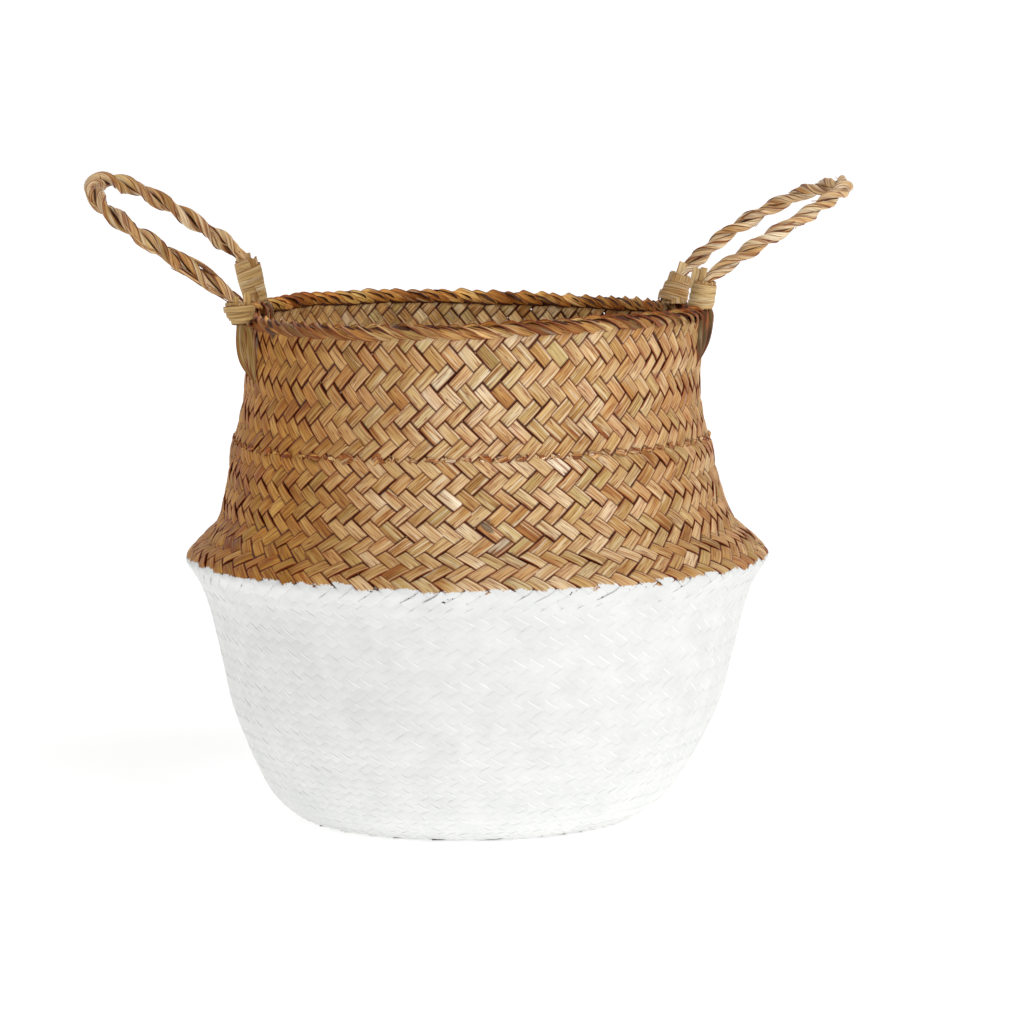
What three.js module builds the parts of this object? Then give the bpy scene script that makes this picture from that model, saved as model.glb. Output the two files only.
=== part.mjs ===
// Belly basket, plaited from flat seagrass strips, with a white painted belly and two twisted handles.
// Millimetres, +Z up. The origin is on the floor under the middle of the mouth, and -Y is the front.

import * as THREE from 'three';
import { mergeVertices } from 'three/addons/utils/BufferGeometryUtils.js';

// The whole basket
const bellyRadius = 160;
const bellyHeight = 143;
const rimHeight = 279;
const shellThickness = 2.8;
const floorRadius = 88;
const seatGap = 0.3;
const aroundSteps = 48;

// What the hands that made it left: base and waist sit a little to one side, and the rim rises and dips
const baseShift = 6;
const waistShift = 2.7;
const rimWave = 2;

// The painted bowl from the floor up to its widest ridge: shares of the belly's radius and height
const bowlOutlineShares = [
	[0.575, 0], [0.612, 0.018], [0.688, 0.091], [0.75, 0.203], [0.8, 0.318], [0.844, 0.44],
	[0.872, 0.566], [0.896, 0.685], [0.922, 0.804], [0.947, 0.888], [0.979, 0.955], [1, 1],
];

// The natural wall from the ridge up to the border: shares of the belly's radius and of the height above the ridge
const wallOutlineShares = [
	[1, 0], [0.974, 0.048], [0.935, 0.096], [0.884, 0.162], [0.855, 0.272], [0.834, 0.382],
	[0.826, 0.47], [0.809, 0.53], [0.785, 0.654], [0.7775, 0.772], [0.7775, 0.875], [0.78, 1],
];

// The border round the mouth: every strip is folded over and tucked in, which leaves one slanted fold for each
const borderHeight = 8.5;
const borderDepth = 6.2;
const foldDepth = 0.7;
const foldCount = 84;
const foldSlantShare = 1.35;
const borderShoulderShare = 0.3;

// The border's section, corner by corner: shares of its depth from the inside, of its height, of a fold's rise
// and of its slant. A fold climbs the outside leaning one way and goes down the inside leaning on.
const borderSectionShares = [
	[1, 0, 0.5, 1], [1, 0.5, 1, 0.5], [0.84, 0.94, 0.5, 0.06],
	[borderShoulderShare, 1, -0.3, 0], [0, 0.55, -1, -0.45], [0.08, 0, -0.5, -1],
];

// The flat strips that tie the handles on, and their cut ends
const stripThickness = 1.1;
const tailWidth = 5.4;
const tailSplay = 3.1;
const tailSpread = 2.6;
const tailReach = 30;
const tailBow = 1.2;
const tailSteps = 12;
const tailTurnShare = 2.5;
const tailKneeShare = 0.6;
const tailSeatShare = 1.5;
const innerBowShare = 0.5;
const stubWidth = 5.6;
const stubHeight = 6;

// The bundle of strips inside each binding, and the strip wound round it
const coreHalfWidth = 4.7;
const coreHalfDepth = 4.4;
const coreSides = 10;
const bindingHeight = 24;
const bindingThickness = 1;
const bindingGap = 0.5;
const bindingClearance = 0.3;
const loopSteps = 24;

// Where the legs stand: how far outside the wall's middle, how far below the border's top, and the bend above
const legStandOut = 8;
const legDrop = 6.4;
const legNeck = 6.6;

// Each leg: degrees round the rim, of lean and of rise where the handle leaves, turns of the binding, and shares
// of the three sizes above, of the binding's height and of its flare
const legShares = [
	{
		name: 'left_back', azimuth: 165, lean: 13.5, rise: 38, turns: 3,
		stand: 0.32, drop: 0, wrap: 0.8, neck: 0.8, flare: 0,
	},
	{
		name: 'left_front', azimuth: 199, lean: 2, rise: 36, turns: 3,
		stand: 1.22, drop: 0.83, wrap: 0.38, neck: 0.5, flare: 1,
	},
	{
		name: 'right_back', azimuth: 24, lean: 21, rise: 42, turns: 3,
		stand: -0.36, drop: 0, wrap: 0.41, neck: 0.5, flare: 0,
	},
	{
		name: 'right_front', azimuth: -13, lean: 10, rise: 40, turns: 4,
		stand: 0.2, drop: 0, wrap: 0.42, neck: 0.45, flare: 0,
	},
];
const flareBottomShare = 0.72;
const flareTopShare = 1.36;

// The handles: two strands twisted together
const strandRadius = 2.35;
const strandGap = 0.35;
const stepsPerTwist = 9;
const strandSides = 8;
const strandCapShares = [0.94, 0.62];
const swingGap = 0.35;

// Each handle: where its far end lies, how far its middle bows, how far one leg rises over the other, and how
// far along it the strands take one full turn. The left one is twisted loosely and the right one tightly.
const leftTip = { out: -206.5, height: 346.3, bow: 2, twist: 0, pitch: 50 };
const rightTip = { out: 202.2, height: 343, bow: 3.5, twist: 2, pitch: 34 };

// A handle from its back leg to its front leg: shares of the way to the far end, of half the legs' distance,
// of the bow and of the twist between the legs
const handleRouteShares = [
	[0, 1, 0, 0], [0.18, 1.01, 0.62, 0.6], [0.38, 1.01, 1, 1], [0.6, 0.97, 1, 1], [0.78, 0.83, 0.75, 0.9],
	[0.92, 0.55, 0.35, 0.7], [0.995, 0.16, 0, 0.3],
	[0.995, -0.16, 0, -0.3], [0.92, -0.55, 0.35, -0.7], [0.78, -0.83, 0.75, -0.9],
	[0.6, -0.97, 1, -1], [0.38, -1.01, 1, -1], [0.18, -1.01, 0.62, -0.6], [0, -1, 0, 0],
];

// Materials
const paintedSeagrass = new THREE.MeshStandardMaterial({ color: '#eceeed', roughness: 0.62, metalness: 0 });
const naturalSeagrass = new THREE.MeshStandardMaterial({ color: '#c29a5b', roughness: 0.68, metalness: 0 });
const borderSeagrass = new THREE.MeshStandardMaterial({ color: '#a8752f', roughness: 0.66, metalness: 0 });
const strandSeagrass = new THREE.MeshStandardMaterial({ color: '#b98f55', roughness: 0.6, metalness: 0 });
const bindingSeagrass = new THREE.MeshStandardMaterial({ color: '#c9a86a', roughness: 0.55, metalness: 0 });

const up = new THREE.Vector3(0, 0, 1);
const basket = new THREE.Group();
const leftHandle = new THREE.Group();
const rightHandle = new THREE.Group();

// A closed skin over a row of rings of points. Rings run against the clock seen from the last ring. A loop joins
// the last ring to the first, and an open row is closed at each end by a fan round the middle of its ring.
function skin(rings, loop = false) {
	const sides = rings[0].length;
	const points = rings.flat();
	const faces = [];
	const last = loop ? rings.length : rings.length - 1;
	for (let i = 0; i < last; i++) {
		const a = i * sides;
		const b = ((i + 1) % rings.length) * sides;
		for (let j = 0; j < sides; j++) {
			const k = (j + 1) % sides;
			faces.push(a + j, a + k, b + k, a + j, b + k, b + j);
		}
	}
	if (!loop) {
		for (const [start, flip] of [[0, true], [(rings.length - 1) * sides, false]]) {
			const middle = new THREE.Vector3();
			for (let j = 0; j < sides; j++) middle.addScaledVector(points[start + j], 1 / sides);
			points.push(middle);
			for (let j = 0; j < sides; j++) {
				const k = (j + 1) % sides;
				faces.push(points.length - 1, start + (flip ? k : j), start + (flip ? j : k));
			}
		}
	}
	const geometry = new THREE.BufferGeometry().setFromPoints(points);
	geometry.setIndex(faces);
	geometry.computeVertexNormals();
	return geometry;
}

// An oval ring of points round a middle, with its half sizes along two directions
function oval(middle, across, through, halfAcross, halfThrough, sides) {
	const ring = [];
	for (let j = 0; j < sides; j++) {
		const turn = 2 * Math.PI * (j + 0.5) / sides;
		const point = middle.clone();
		point.addScaledVector(across, halfAcross * Math.cos(turn));
		point.addScaledVector(through, halfThrough * Math.sin(turn));
		ring.push(point);
	}
	return ring;
}

function addPiece(group, name, geometry, material) {
	const mesh = new THREE.Mesh(geometry, material);
	mesh.name = name;
	group.add(mesh);
	return mesh;
}

// The hand-made shape: moves a point of the true round basket to where it lies on this one
function handShape(point) {
	const below = Math.max(0, 1 - point.z / bellyHeight) ** 3;
	const above = THREE.MathUtils.smoothstep(point.z, bellyHeight, rimHeight);
	const wave = -rimWave * above * Math.sin(2 * Math.atan2(point.y, point.x));
	point.x -= baseShift * below + 4 * waistShift * above * (1 - above);
	point.z += wave;
	return point;
}

function handShapeAll(geometry) {
	const places = geometry.getAttribute('position');
	const point = new THREE.Vector3();
	for (let i = 0; i < places.count; i++) {
		point.fromBufferAttribute(places, i);
		handShape(point);
		places.setXYZ(i, point.x, point.y, point.z);
	}
	geometry.computeVertexNormals();
	return geometry;
}

// The outward normal at each point of an outline that runs upwards
function outlineNormals(outline) {
	const normals = [];
	for (let i = 0; i < outline.length; i++) {
		const before = outline[Math.max(0, i - 1)];
		const after = outline[Math.min(outline.length - 1, i + 1)];
		const along = after.clone().sub(before).normalize();
		normals.push(new THREE.Vector2(along.y, -along.x));
	}
	return normals;
}

// The inside of a wall: its outline set in by the shell's thickness, with both ends kept level
function insetOutline(outline) {
	const normals = outlineNormals(outline);
	const last = outline.length - 1;
	return outline.map((point, i) => {
		if (i === 0 || i === last) {
			return new THREE.Vector2(point.x - shellThickness / normals[i].x, point.y);
		}
		return point.clone().addScaledVector(normals[i], -shellThickness);
	});
}

// A shell turned round the upright axis from a closed outline
function turnedShell(outline) {
	const closed = [...outline, outline[0].clone()];
	const lathe = new THREE.LatheGeometry(closed, aroundSteps);
	lathe.rotateX(Math.PI / 2);
	lathe.deleteAttribute('normal');
	lathe.deleteAttribute('uv');
	return handShapeAll(mergeVertices(lathe));
}

// Outlines in real sizes
const wallTop = rimHeight - borderHeight - seatGap;
const bowlOutline = bowlOutlineShares.map(([r, z]) => new THREE.Vector2(r * bellyRadius, z * bellyHeight));
const wallFoot = bellyHeight + seatGap;
const wallOutline = wallOutlineShares.map(([r, z]) => (
	new THREE.Vector2(r * bellyRadius, wallFoot + z * (wallTop - wallFoot))
));
const rimOuterRadius = wallOutline[wallOutline.length - 1].x;
const rimMiddleRadius = rimOuterRadius - shellThickness / 2;

// The wall's outer radius at a height above the ridge
function wallRadiusAt(height) {
	for (let i = 1; i < wallOutline.length; i++) {
		const low = wallOutline[i - 1];
		const high = wallOutline[i];
		if (height <= high.y) {
			return THREE.MathUtils.mapLinear(height, low.y, high.y, low.x, high.x);
		}
	}
	return rimOuterRadius;
}

// The floor: a flat round plait
function makeFloor() {
	const floorDisc = [
		new THREE.Vector2(0, 0),
		new THREE.Vector2(floorRadius, 0),
		new THREE.Vector2(floorRadius, shellThickness),
		new THREE.Vector2(0, shellThickness),
	];
	const lathe = new THREE.LatheGeometry(floorDisc, aroundSteps);
	lathe.rotateX(Math.PI / 2);
	lathe.deleteAttribute('normal');
	lathe.deleteAttribute('uv');
	addPiece(basket, 'floor_plait', handShapeAll(mergeVertices(lathe)), paintedSeagrass);
}

// The painted bowl, whose inner edge meets the floor's
function makeBowl() {
	const innerEdge = floorRadius + seatGap;
	const inside = insetOutline([new THREE.Vector2(innerEdge, 0), ...bowlOutline]).slice(1);
	const outline = [
		new THREE.Vector2(innerEdge, 0),
		...bowlOutline,
		...inside.reverse(),
		new THREE.Vector2(innerEdge, shellThickness),
	];
	addPiece(basket, 'painted_bowl', turnedShell(outline), paintedSeagrass);
}

// The natural wall, with the slight ridge where new strips were spliced in half way up
function makeWall() {
	const outline = [...wallOutline, ...insetOutline(wallOutline).reverse()];
	addPiece(basket, 'upper_wall', turnedShell(outline), naturalSeagrass);
}

// The border of slanted folds: two steps for each fold, one raised and one sunk
function makeBorder() {
	const bottom = rimHeight - borderHeight;
	const inner = rimMiddleRadius - borderDepth / 2;
	const rings = [];
	for (let i = 0; i < 2 * foldCount; i++) {
		const raised = i % 2 === 0 ? foldDepth : 0;
		const ring = borderSectionShares.map(([depthShare, heightShare, riseShare, slantShare]) => {
			const slant = 2 * Math.PI * foldSlantShare * slantShare / foldCount;
			const turn = Math.PI * i / foldCount + slant;
			const reach = inner + depthShare * borderDepth + raised * riseShare;
			return handShape(new THREE.Vector3(
				reach * Math.cos(turn),
				reach * Math.sin(turn),
				bottom + heightShare * borderHeight,
			));
		});
		rings.push(ring.reverse());
	}
	addPiece(basket, 'rim_border', skin(rings, true), borderSeagrass);
}

// Where one leg stands and how it bends up to its hinge point
function placeLeg(share) {
	const azimuth = THREE.MathUtils.degToRad(share.azimuth);
	const outward = new THREE.Vector3(Math.cos(azimuth), Math.sin(azimuth), 0);
	const sideways = new THREE.Vector3(-Math.sin(azimuth), Math.cos(azimuth), 0);
	const radius = rimMiddleRadius + share.stand * legStandOut;
	const clearOfRim = stripThickness + 2 * seatGap;
	const height = rimHeight + clearOfRim - share.drop * legDrop;
	const foot = handShape(outward.clone().multiplyScalar(radius).setZ(height));
	const towards = (elevation) => {
		const angle = THREE.MathUtils.degToRad(elevation);
		return outward.clone().multiplyScalar(Math.cos(angle)).addScaledVector(up, Math.sin(angle));
	};
	const shaft = towards(90 - share.lean);
	const neck = towards((90 - share.lean + share.rise) / 2);
	const exit = towards(share.rise);
	const wrapHeight = share.wrap * bindingHeight;
	const wrapDepth = coreHalfDepth * flareAt(share, 0) + bindingClearance + bindingThickness;
	const wrapStart = seatGap + wrapDepth * Math.sin(THREE.MathUtils.degToRad(share.lean));
	const neckLength = share.neck * legNeck;
	const shoulder = foot.clone().addScaledVector(shaft, wrapStart + wrapHeight + seatGap);
	const elbow = shoulder.clone().addScaledVector(neck, neckLength / 2);
	const top = elbow.clone().addScaledVector(exit, neckLength / 2);
	const hinge = top.clone().addScaledVector(exit, strandRadius + swingGap);
	return { ...share, outward, sideways, radius, foot, shaft, exit, wrapStart, wrapHeight, shoulder, elbow, hinge };
}

const legs = Object.fromEntries(legShares.map((share) => [share.name, placeLeg(share)]));

// The two legs of a handle share the line that it swings on
for (const [back, front] of [[legs.left_back, legs.left_front], [legs.right_back, legs.right_front]]) {
	const swingAxis = back.hinge.clone().sub(front.hinge).normalize();
	for (const leg of [back, front]) {
		leg.swingAxis = swingAxis;
		leg.lift = leg.exit.clone().addScaledVector(swingAxis, -leg.exit.dot(swingAxis)).normalize();
		leg.top = leg.hinge.clone().addScaledVector(leg.lift, -(strandRadius + swingGap));
	}
}

// How much wider than usual a leg's bundle is at a share of its binding's height
function flareAt(leg, share) {
	const flared = THREE.MathUtils.lerp(flareBottomShare, flareTopShare, share);
	return THREE.MathUtils.lerp(1, flared, leg.flare);
}

// The bundle of strips inside the binding, which turns from lying along the rim to lying along the swing axis
function makeCore(leg) {
	const topHalfWidth = strandRadius + strandGap / 2 + strandRadius;
	const depthOf = (tangent, across) => tangent.clone().cross(across).normalize();
	const rings = [];
	for (const share of [0, 0.5, 1]) {
		const middle = leg.foot.clone().lerp(leg.shoulder, share);
		const through = depthOf(share === 0 ? up : leg.shaft, leg.sideways);
		const flare = flareAt(leg, share);
		rings.push(oval(middle, leg.sideways, through, coreHalfWidth * flare, coreHalfDepth * flare, coreSides));
	}
	const across = leg.sideways.clone().lerp(leg.swingAxis.clone().multiplyScalar(leg.turnSign), 0.5).normalize();
	const middleDepth = (coreHalfDepth * flareAt(leg, 1) + strandRadius) / 2;
	const middleWidth = (coreHalfWidth * flareAt(leg, 1) + topHalfWidth) / 2;
	const neckDirection = leg.top.clone().sub(leg.shoulder).normalize();
	rings.push(oval(leg.elbow, across, depthOf(neckDirection, across), middleWidth, middleDepth, coreSides));
	const topAcross = leg.swingAxis.clone().multiplyScalar(leg.turnSign);
	rings.push(oval(leg.top, topAcross, depthOf(leg.lift, topAcross), topHalfWidth, strandRadius, coreSides));
	addPiece(basket, `${leg.name}_bundle`, skin(rings), strandSeagrass);
}

// The binding: one flat strip wound round the bundle, with both ends straight for one strip width
function makeBinding(leg) {
	const pitch = (leg.wrapHeight + bindingGap) / (leg.turns + 1);
	const width = pitch - bindingGap;
	const through = leg.shaft.clone().cross(leg.sideways).normalize();
	const steps = leg.turns * loopSteps;
	const centreAt = (i) => {
		const turn = 2 * Math.PI * i / loopSteps;
		const along = leg.wrapStart + width / 2 + pitch * i / loopSteps;
		const share = along / (leg.wrapStart + leg.wrapHeight);
		const outset = bindingClearance + bindingThickness / 2;
		const point = leg.foot.clone().addScaledVector(leg.shaft, along);
		point.addScaledVector(leg.sideways, (coreHalfWidth * flareAt(leg, share) + outset) * Math.cos(turn));
		point.addScaledVector(through, (coreHalfDepth * flareAt(leg, share) + outset) * Math.sin(turn));
		return point;
	};
	const tangentAt = (i) => centreAt(i + 0.5).sub(centreAt(i - 0.5)).normalize();
	// corners of the strip's section: shares of its half width and of its half thickness
	const cornerShares = [[-1, 0], [-0.6, -1], [0.6, -1], [1, 0], [0.6, 1], [-0.6, 1]];
	const ringAt = (middle, tangent) => {
		const face = tangent.clone().cross(leg.shaft).normalize();
		return cornerShares.map(([a, b]) => {
			const point = middle.clone().addScaledVector(leg.shaft, a * width / 2);
			return point.addScaledVector(face, b * bindingThickness / 2);
		});
	};
	const rings = [];
	rings.push(ringAt(centreAt(0).addScaledVector(tangentAt(0), -width), tangentAt(0)));
	for (let i = 0; i <= steps; i++) rings.push(ringAt(centreAt(i), tangentAt(i)));
	rings.push(ringAt(centreAt(steps).addScaledVector(tangentAt(steps), width), tangentAt(steps)));
	console.log(`${leg.name}_binding: least gap between its turns ${leastGap(rings).toFixed(2)} mm`);
	addPiece(basket, `${leg.name}_binding`, skin(rings), bindingSeagrass);
}

// The least distance between points of a winding that lie more than half a turn apart along it
function leastGap(rings) {
	let least = Infinity;
	for (let i = 0; i < rings.length; i++) {
		for (let j = i + loopSteps / 2; j < rings.length; j++) {
			for (const a of rings[i]) {
				for (const b of rings[j]) least = Math.min(least, a.distanceTo(b));
			}
		}
	}
	return least;
}

// A flat strip along a route in the upright plane of a leg, set off sideways more and more
function makeTail(leg, name, route, sideways, spread) {
	const curve = new THREE.CatmullRomCurve3(route.map(([r, z]) => new THREE.Vector3(r, 0, z)), false, 'centripetal');
	const rings = [];
	for (let i = 0; i <= tailSteps; i++) {
		const share = i / tailSteps;
		const flat = curve.getPointAt(share);
		const tangent = curve.getTangentAt(share);
		const direction = leg.outward.clone().multiplyScalar(tangent.x).addScaledVector(up, tangent.z);
		const through = direction.clone().cross(leg.sideways);
		const middle = leg.outward.clone().multiplyScalar(flat.x).addScaledVector(up, flat.z);
		middle.addScaledVector(leg.sideways, sideways + spread * share);
		const halfWidth = tailWidth / 2;
		const halfThickness = stripThickness / 2;
		const ring = [[-1, -1], [1, -1], [1, 1], [-1, 1]].map(([a, b]) => {
			const corner = middle.clone().addScaledVector(leg.sideways, a * halfWidth);
			return handShape(corner.addScaledVector(through, b * halfThickness));
		});
		rings.push(ring);
	}
	addPiece(basket, name, skin(rings), naturalSeagrass);
}

// How far out a pair of flat tails fits inside a round wall of many flats
function flatInside(radius) {
	const corner = tailSplay + tailSpread + tailWidth / 2;
	const flat = radius * Math.cos(Math.PI / aroundSteps);
	return Math.sqrt(flat * flat - corner * corner);
}

// The tails of each leg's strips, two down the outside of the wall and two down the inside
function makeTails(leg) {
	const half = stripThickness / 2;
	const border = borderDepth / 2 + foldDepth + seatGap + half;
	const shoulder = borderDepth * borderShoulderShare;
	const turnDown = tailTurnShare * stripThickness;
	const borderFoot = rimHeight - borderHeight;
	const endHeight = rimHeight - tailReach;
	const kneeHeight = THREE.MathUtils.lerp(borderFoot, endHeight, tailKneeShare);
	const footHeight = rimHeight + clearUnderFoot(leg);
	const outerStart = leg.radius + coreHalfDepth / 2;
	const outerDown = Math.max(rimMiddleRadius + border, outerStart);
	const outerEnd = wallRadiusAt(endHeight) + seatGap + half;
	const outerRoute = [
		[outerStart, footHeight],
		[Math.max(outerStart + half, rimMiddleRadius + shoulder), footHeight],
		[outerDown + tailBow / 2, footHeight - turnDown],
		[outerDown + tailBow, borderFoot],
		[(outerDown + outerEnd) / 2 + tailBow, kneeHeight],
		[outerEnd, endHeight],
	];
	const bundleDepth = coreHalfDepth * flareAt(leg, 1);
	const bindingFace = leg.radius - bundleDepth - bindingClearance - bindingThickness - 2 * seatGap;
	const overRim = leg.drop > 0;
	const innerStart = overRim ? bindingFace : leg.radius - coreHalfDepth / 2;
	const innerHeight = rimHeight + tailSeatShare * seatGap + half;
	const innerDown = Math.min(flatInside(rimMiddleRadius - border), innerStart);
	const innerEnd = flatInside(wallRadiusAt(endHeight) - shellThickness) - seatGap - half;
	const innerBow = innerBowShare * tailBow;
	const innerRoute = [
		[innerStart, innerHeight],
		[Math.min(innerStart - half, rimMiddleRadius - shoulder), innerHeight],
		[innerDown - innerBow, innerHeight - turnDown],
		[innerDown - innerBow, borderFoot],
		[(innerDown + innerEnd) / 2 - innerBow, kneeHeight],
		[innerEnd, endHeight],
	];
	for (const [letter, way] of [['a', -1], ['b', 1]]) {
		makeTail(leg, `${leg.name}_outer_tail_${letter}`, outerRoute, way * tailSplay, way * tailSpread / 2);
		makeTail(leg, `${leg.name}_inner_tail_${letter}`, innerRoute, way * tailSplay, way * tailSpread);
	}
}

// Height of the outer tails' first run above the border's top: they pass just under the bundle's foot
function clearUnderFoot(leg) {
	return seatGap + stripThickness / 2 - leg.drop * legDrop;
}

// The cut ends of the strips, which stand up above the binding on the side of the mouth
function makeStub(leg) {
	const through = leg.shaft.clone().cross(leg.sideways).normalize();
	const inward = through.dot(leg.outward) > 0 ? -1 : 1;
	const offset = inward * (coreHalfDepth * flareAt(leg, 1) + seatGap + stripThickness / 2);
	const rings = [];
	for (const share of [0, 0.5, 1]) {
		const middle = leg.shoulder.clone().addScaledVector(through, offset);
		middle.addScaledVector(leg.shaft, seatGap + share * stubHeight * leg.neck);
		rings.push([[-1, -1], [1, -1], [1, 1], [-1, 1]].map(([a, b]) => {
			const corner = middle.clone().addScaledVector(leg.sideways, a * stubWidth / 2);
			return corner.addScaledVector(through, b * stripThickness / 2);
		}));
	}
	addPiece(basket, `${leg.name}_cut_ends`, skin(rings), bindingSeagrass);
}

// The middle line of a handle from its back hinge point to its front one
function handleRoute(back, front, tip) {
	const root = back.hinge.clone().add(front.hinge).multiplyScalar(0.5);
	const axis = back.swingAxis;
	// the far end lies straight out from the swing axis
	const reach = new THREE.Vector3(tip.out, 0, tip.height).sub(root);
	reach.y = -(reach.x * axis.x + reach.z * axis.z) / axis.y;
	const halfSpan = back.hinge.clone().sub(front.hinge).multiplyScalar(0.5);
	const bowWay = up.clone().addScaledVector(reach, -up.dot(reach) / reach.lengthSq()).normalize();
	return new THREE.CatmullRomCurve3(handleRouteShares.map(([along, across, bow, twist]) => {
		const point = root.clone().addScaledVector(reach, along).addScaledVector(halfSpan, across);
		return point.addScaledVector(bowWay, bow * tip.bow + twist * tip.twist);
	}), false, 'centripetal');
}

// Directions square to the middle line, carried along it without turning
function carriedFrames(curve, steps, firstAcross) {
	const frames = [];
	let across = firstAcross.clone();
	for (let i = 0; i <= steps; i++) {
		const tangent = curve.getTangentAt(i / steps);
		across = across.clone().addScaledVector(tangent, -across.dot(tangent)).normalize();
		frames.push({ middle: curve.getPointAt(i / steps), tangent, across, through: tangent.clone().cross(across) });
	}
	return frames;
}

// One handle: two strands wound round the middle line, side by side on the swing axis at both legs.
// Their ends are round about the swing axis, so the handle clears its legs at every angle.
function makeHandle(group, name, back, front, tip) {
	const curve = handleRoute(back, front, tip);
	const turns = Math.round(2 * curve.getLength() / tip.pitch) / 2;
	const steps = Math.round(turns * stepsPerTwist);
	const frames = carriedFrames(curve, steps, back.swingAxis);
	const end = frames[steps];
	const drift = Math.atan2(end.through.dot(back.swingAxis), end.across.dot(back.swingAxis));
	const orbit = strandRadius + strandGap / 2;
	for (const [letter, start] of [['a', 0], ['b', Math.PI]]) {
		const middles = frames.map((frame, i) => {
			const turn = start + (2 * Math.PI * turns + drift) * i / steps;
			const point = frame.middle.clone().addScaledVector(frame.across, orbit * Math.cos(turn));
			return point.addScaledVector(frame.through, orbit * Math.sin(turn));
		});
		const ringAt = (middle, i, tangent, radius) => {
			const across = middles[i].clone().sub(frames[i].middle);
			across.addScaledVector(tangent, -across.dot(tangent)).normalize();
			return oval(middle, across, tangent.clone().cross(across), radius, radius, strandSides);
		};
		const strandTangent = (i) => {
			if (i === 0 || i === steps) return frames[i].tangent;
			return middles[i + 1].clone().sub(middles[i - 1]).normalize();
		};
		// a round end: two smaller rings before the first full one, and the same after the last
		const capAt = (i, way, share) => {
			const middle = middles[i].clone().addScaledVector(frames[i].tangent, way * strandRadius * share);
			return ringAt(middle, i, frames[i].tangent, strandRadius * Math.sqrt(1 - share * share));
		};
		const rings = [
			...strandCapShares.map((share) => capAt(0, -1, share)),
			...middles.map((middle, i) => ringAt(middle, i, strandTangent(i), strandRadius)),
			...strandCapShares.toReversed().map((share) => capAt(steps, 1, share)),
		];
		addPiece(group, `${name}_strand_${letter}`, skin(rings), strandSeagrass);
	}
}

// The swing axis may point against a leg's own sideways direction
for (const leg of Object.values(legs)) {
	leg.turnSign = Math.sign(leg.swingAxis.dot(leg.sideways));
}

makeFloor();
makeBowl();
makeWall();
makeBorder();
for (const leg of Object.values(legs)) {
	makeCore(leg);
	makeBinding(leg);
	makeTails(leg);
	makeStub(leg);
}
makeHandle(leftHandle, 'left_handle', legs.left_back, legs.left_front, leftTip);
makeHandle(rightHandle, 'right_handle', legs.right_back, legs.right_front, rightTip);

for (const leg of Object.values(legs)) {
	console.log(`${leg.name} hinge point ${leg.hinge.toArray().map((v) => v.toFixed(3)).join(', ')}`);
}
console.log(`left swing axis ${legs.left_back.swingAxis.toArray().map((v) => v.toFixed(5)).join(', ')}`);
console.log(`right swing axis ${legs.right_back.swingAxis.toArray().map((v) => v.toFixed(5)).join(', ')}`);

const bellyBasket = new THREE.Group();
bellyBasket.add(basket, leftHandle, rightHandle);

export default bellyBasket;
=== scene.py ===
import math
from functools import partial
import bpy
import numpy as np
from mathutils import Matrix, Vector


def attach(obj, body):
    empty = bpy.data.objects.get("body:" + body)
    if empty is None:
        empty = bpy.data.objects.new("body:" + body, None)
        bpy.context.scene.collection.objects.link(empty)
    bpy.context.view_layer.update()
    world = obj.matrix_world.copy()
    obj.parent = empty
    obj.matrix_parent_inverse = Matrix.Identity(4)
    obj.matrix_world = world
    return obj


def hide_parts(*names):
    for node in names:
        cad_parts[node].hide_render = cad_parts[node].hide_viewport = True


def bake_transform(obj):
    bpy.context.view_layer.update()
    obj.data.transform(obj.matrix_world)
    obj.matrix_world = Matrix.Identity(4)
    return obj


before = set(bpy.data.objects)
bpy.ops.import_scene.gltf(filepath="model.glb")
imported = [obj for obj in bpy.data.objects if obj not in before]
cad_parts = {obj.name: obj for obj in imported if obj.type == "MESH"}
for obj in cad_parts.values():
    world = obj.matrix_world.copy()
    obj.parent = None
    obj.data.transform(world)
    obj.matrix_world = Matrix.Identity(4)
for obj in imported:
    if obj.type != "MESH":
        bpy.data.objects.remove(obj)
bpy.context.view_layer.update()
rng = np.random.default_rng(11)

# The shapes below are worked out in millimetres and turned into metres when a mesh is made.
mm = 0.001
skyward = np.array([0, 0, 1.0])

# The round basket and its hand-made lean. The outline runs up the outside from the floor's edge to the
# mouth, in shares of the belly's radius and of the height below the widest ridge or above it.
bellyRadius = 160.0
bellyHeight = 143.0
rimHeight = 279.0
borderHeight = 8.5
shellThickness = 2.8
baseShift = 6.0
waistShift = 2.7
rimWave = 2.0
rimShare = 0.78
lowestMiddle = 1.5
bowlShares = [
    (0.575, 0), (0.612, 0.018), (0.688, 0.091), (0.75, 0.203), (0.8, 0.318), (0.844, 0.44),
    (0.872, 0.566), (0.896, 0.685), (0.922, 0.804), (0.947, 0.888), (0.979, 0.955), (1, 1),
]
wallShares = [
    (0.974, 0.048), (0.935, 0.096), (0.884, 0.162), (0.855, 0.272), (0.834, 0.382), (0.826, 0.47),
    (0.809, 0.53), (0.785, 0.654), (0.7775, 0.772), (0.7775, 0.875), (0.78, 1), (0.7802, 1.03),
]
wallTop = rimHeight - borderHeight
rimMiddle = rimShare * bellyRadius - shellThickness / 2


def smoothstep(x, low, high):
    t = np.clip((x - low) / (high - low), 0, 1)
    return t * t * (3 - 2 * t)


def handShape(points):
    shaped = np.array(points, float)
    x, y, z = shaped[..., 0].copy(), shaped[..., 1], shaped[..., 2].copy()
    below = np.clip(1 - z / bellyHeight, 0, 1) ** 3
    above = smoothstep(z, bellyHeight, rimHeight)
    shaped[..., 0] = x - baseShift * below - 4 * waistShift * above * (1 - above)
    shaped[..., 2] = z - rimWave * above * np.sin(2 * np.arctan2(y, x))
    return shaped


def stacked(*parts):
    return np.stack(np.broadcast_arrays(*parts), -1)


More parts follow.
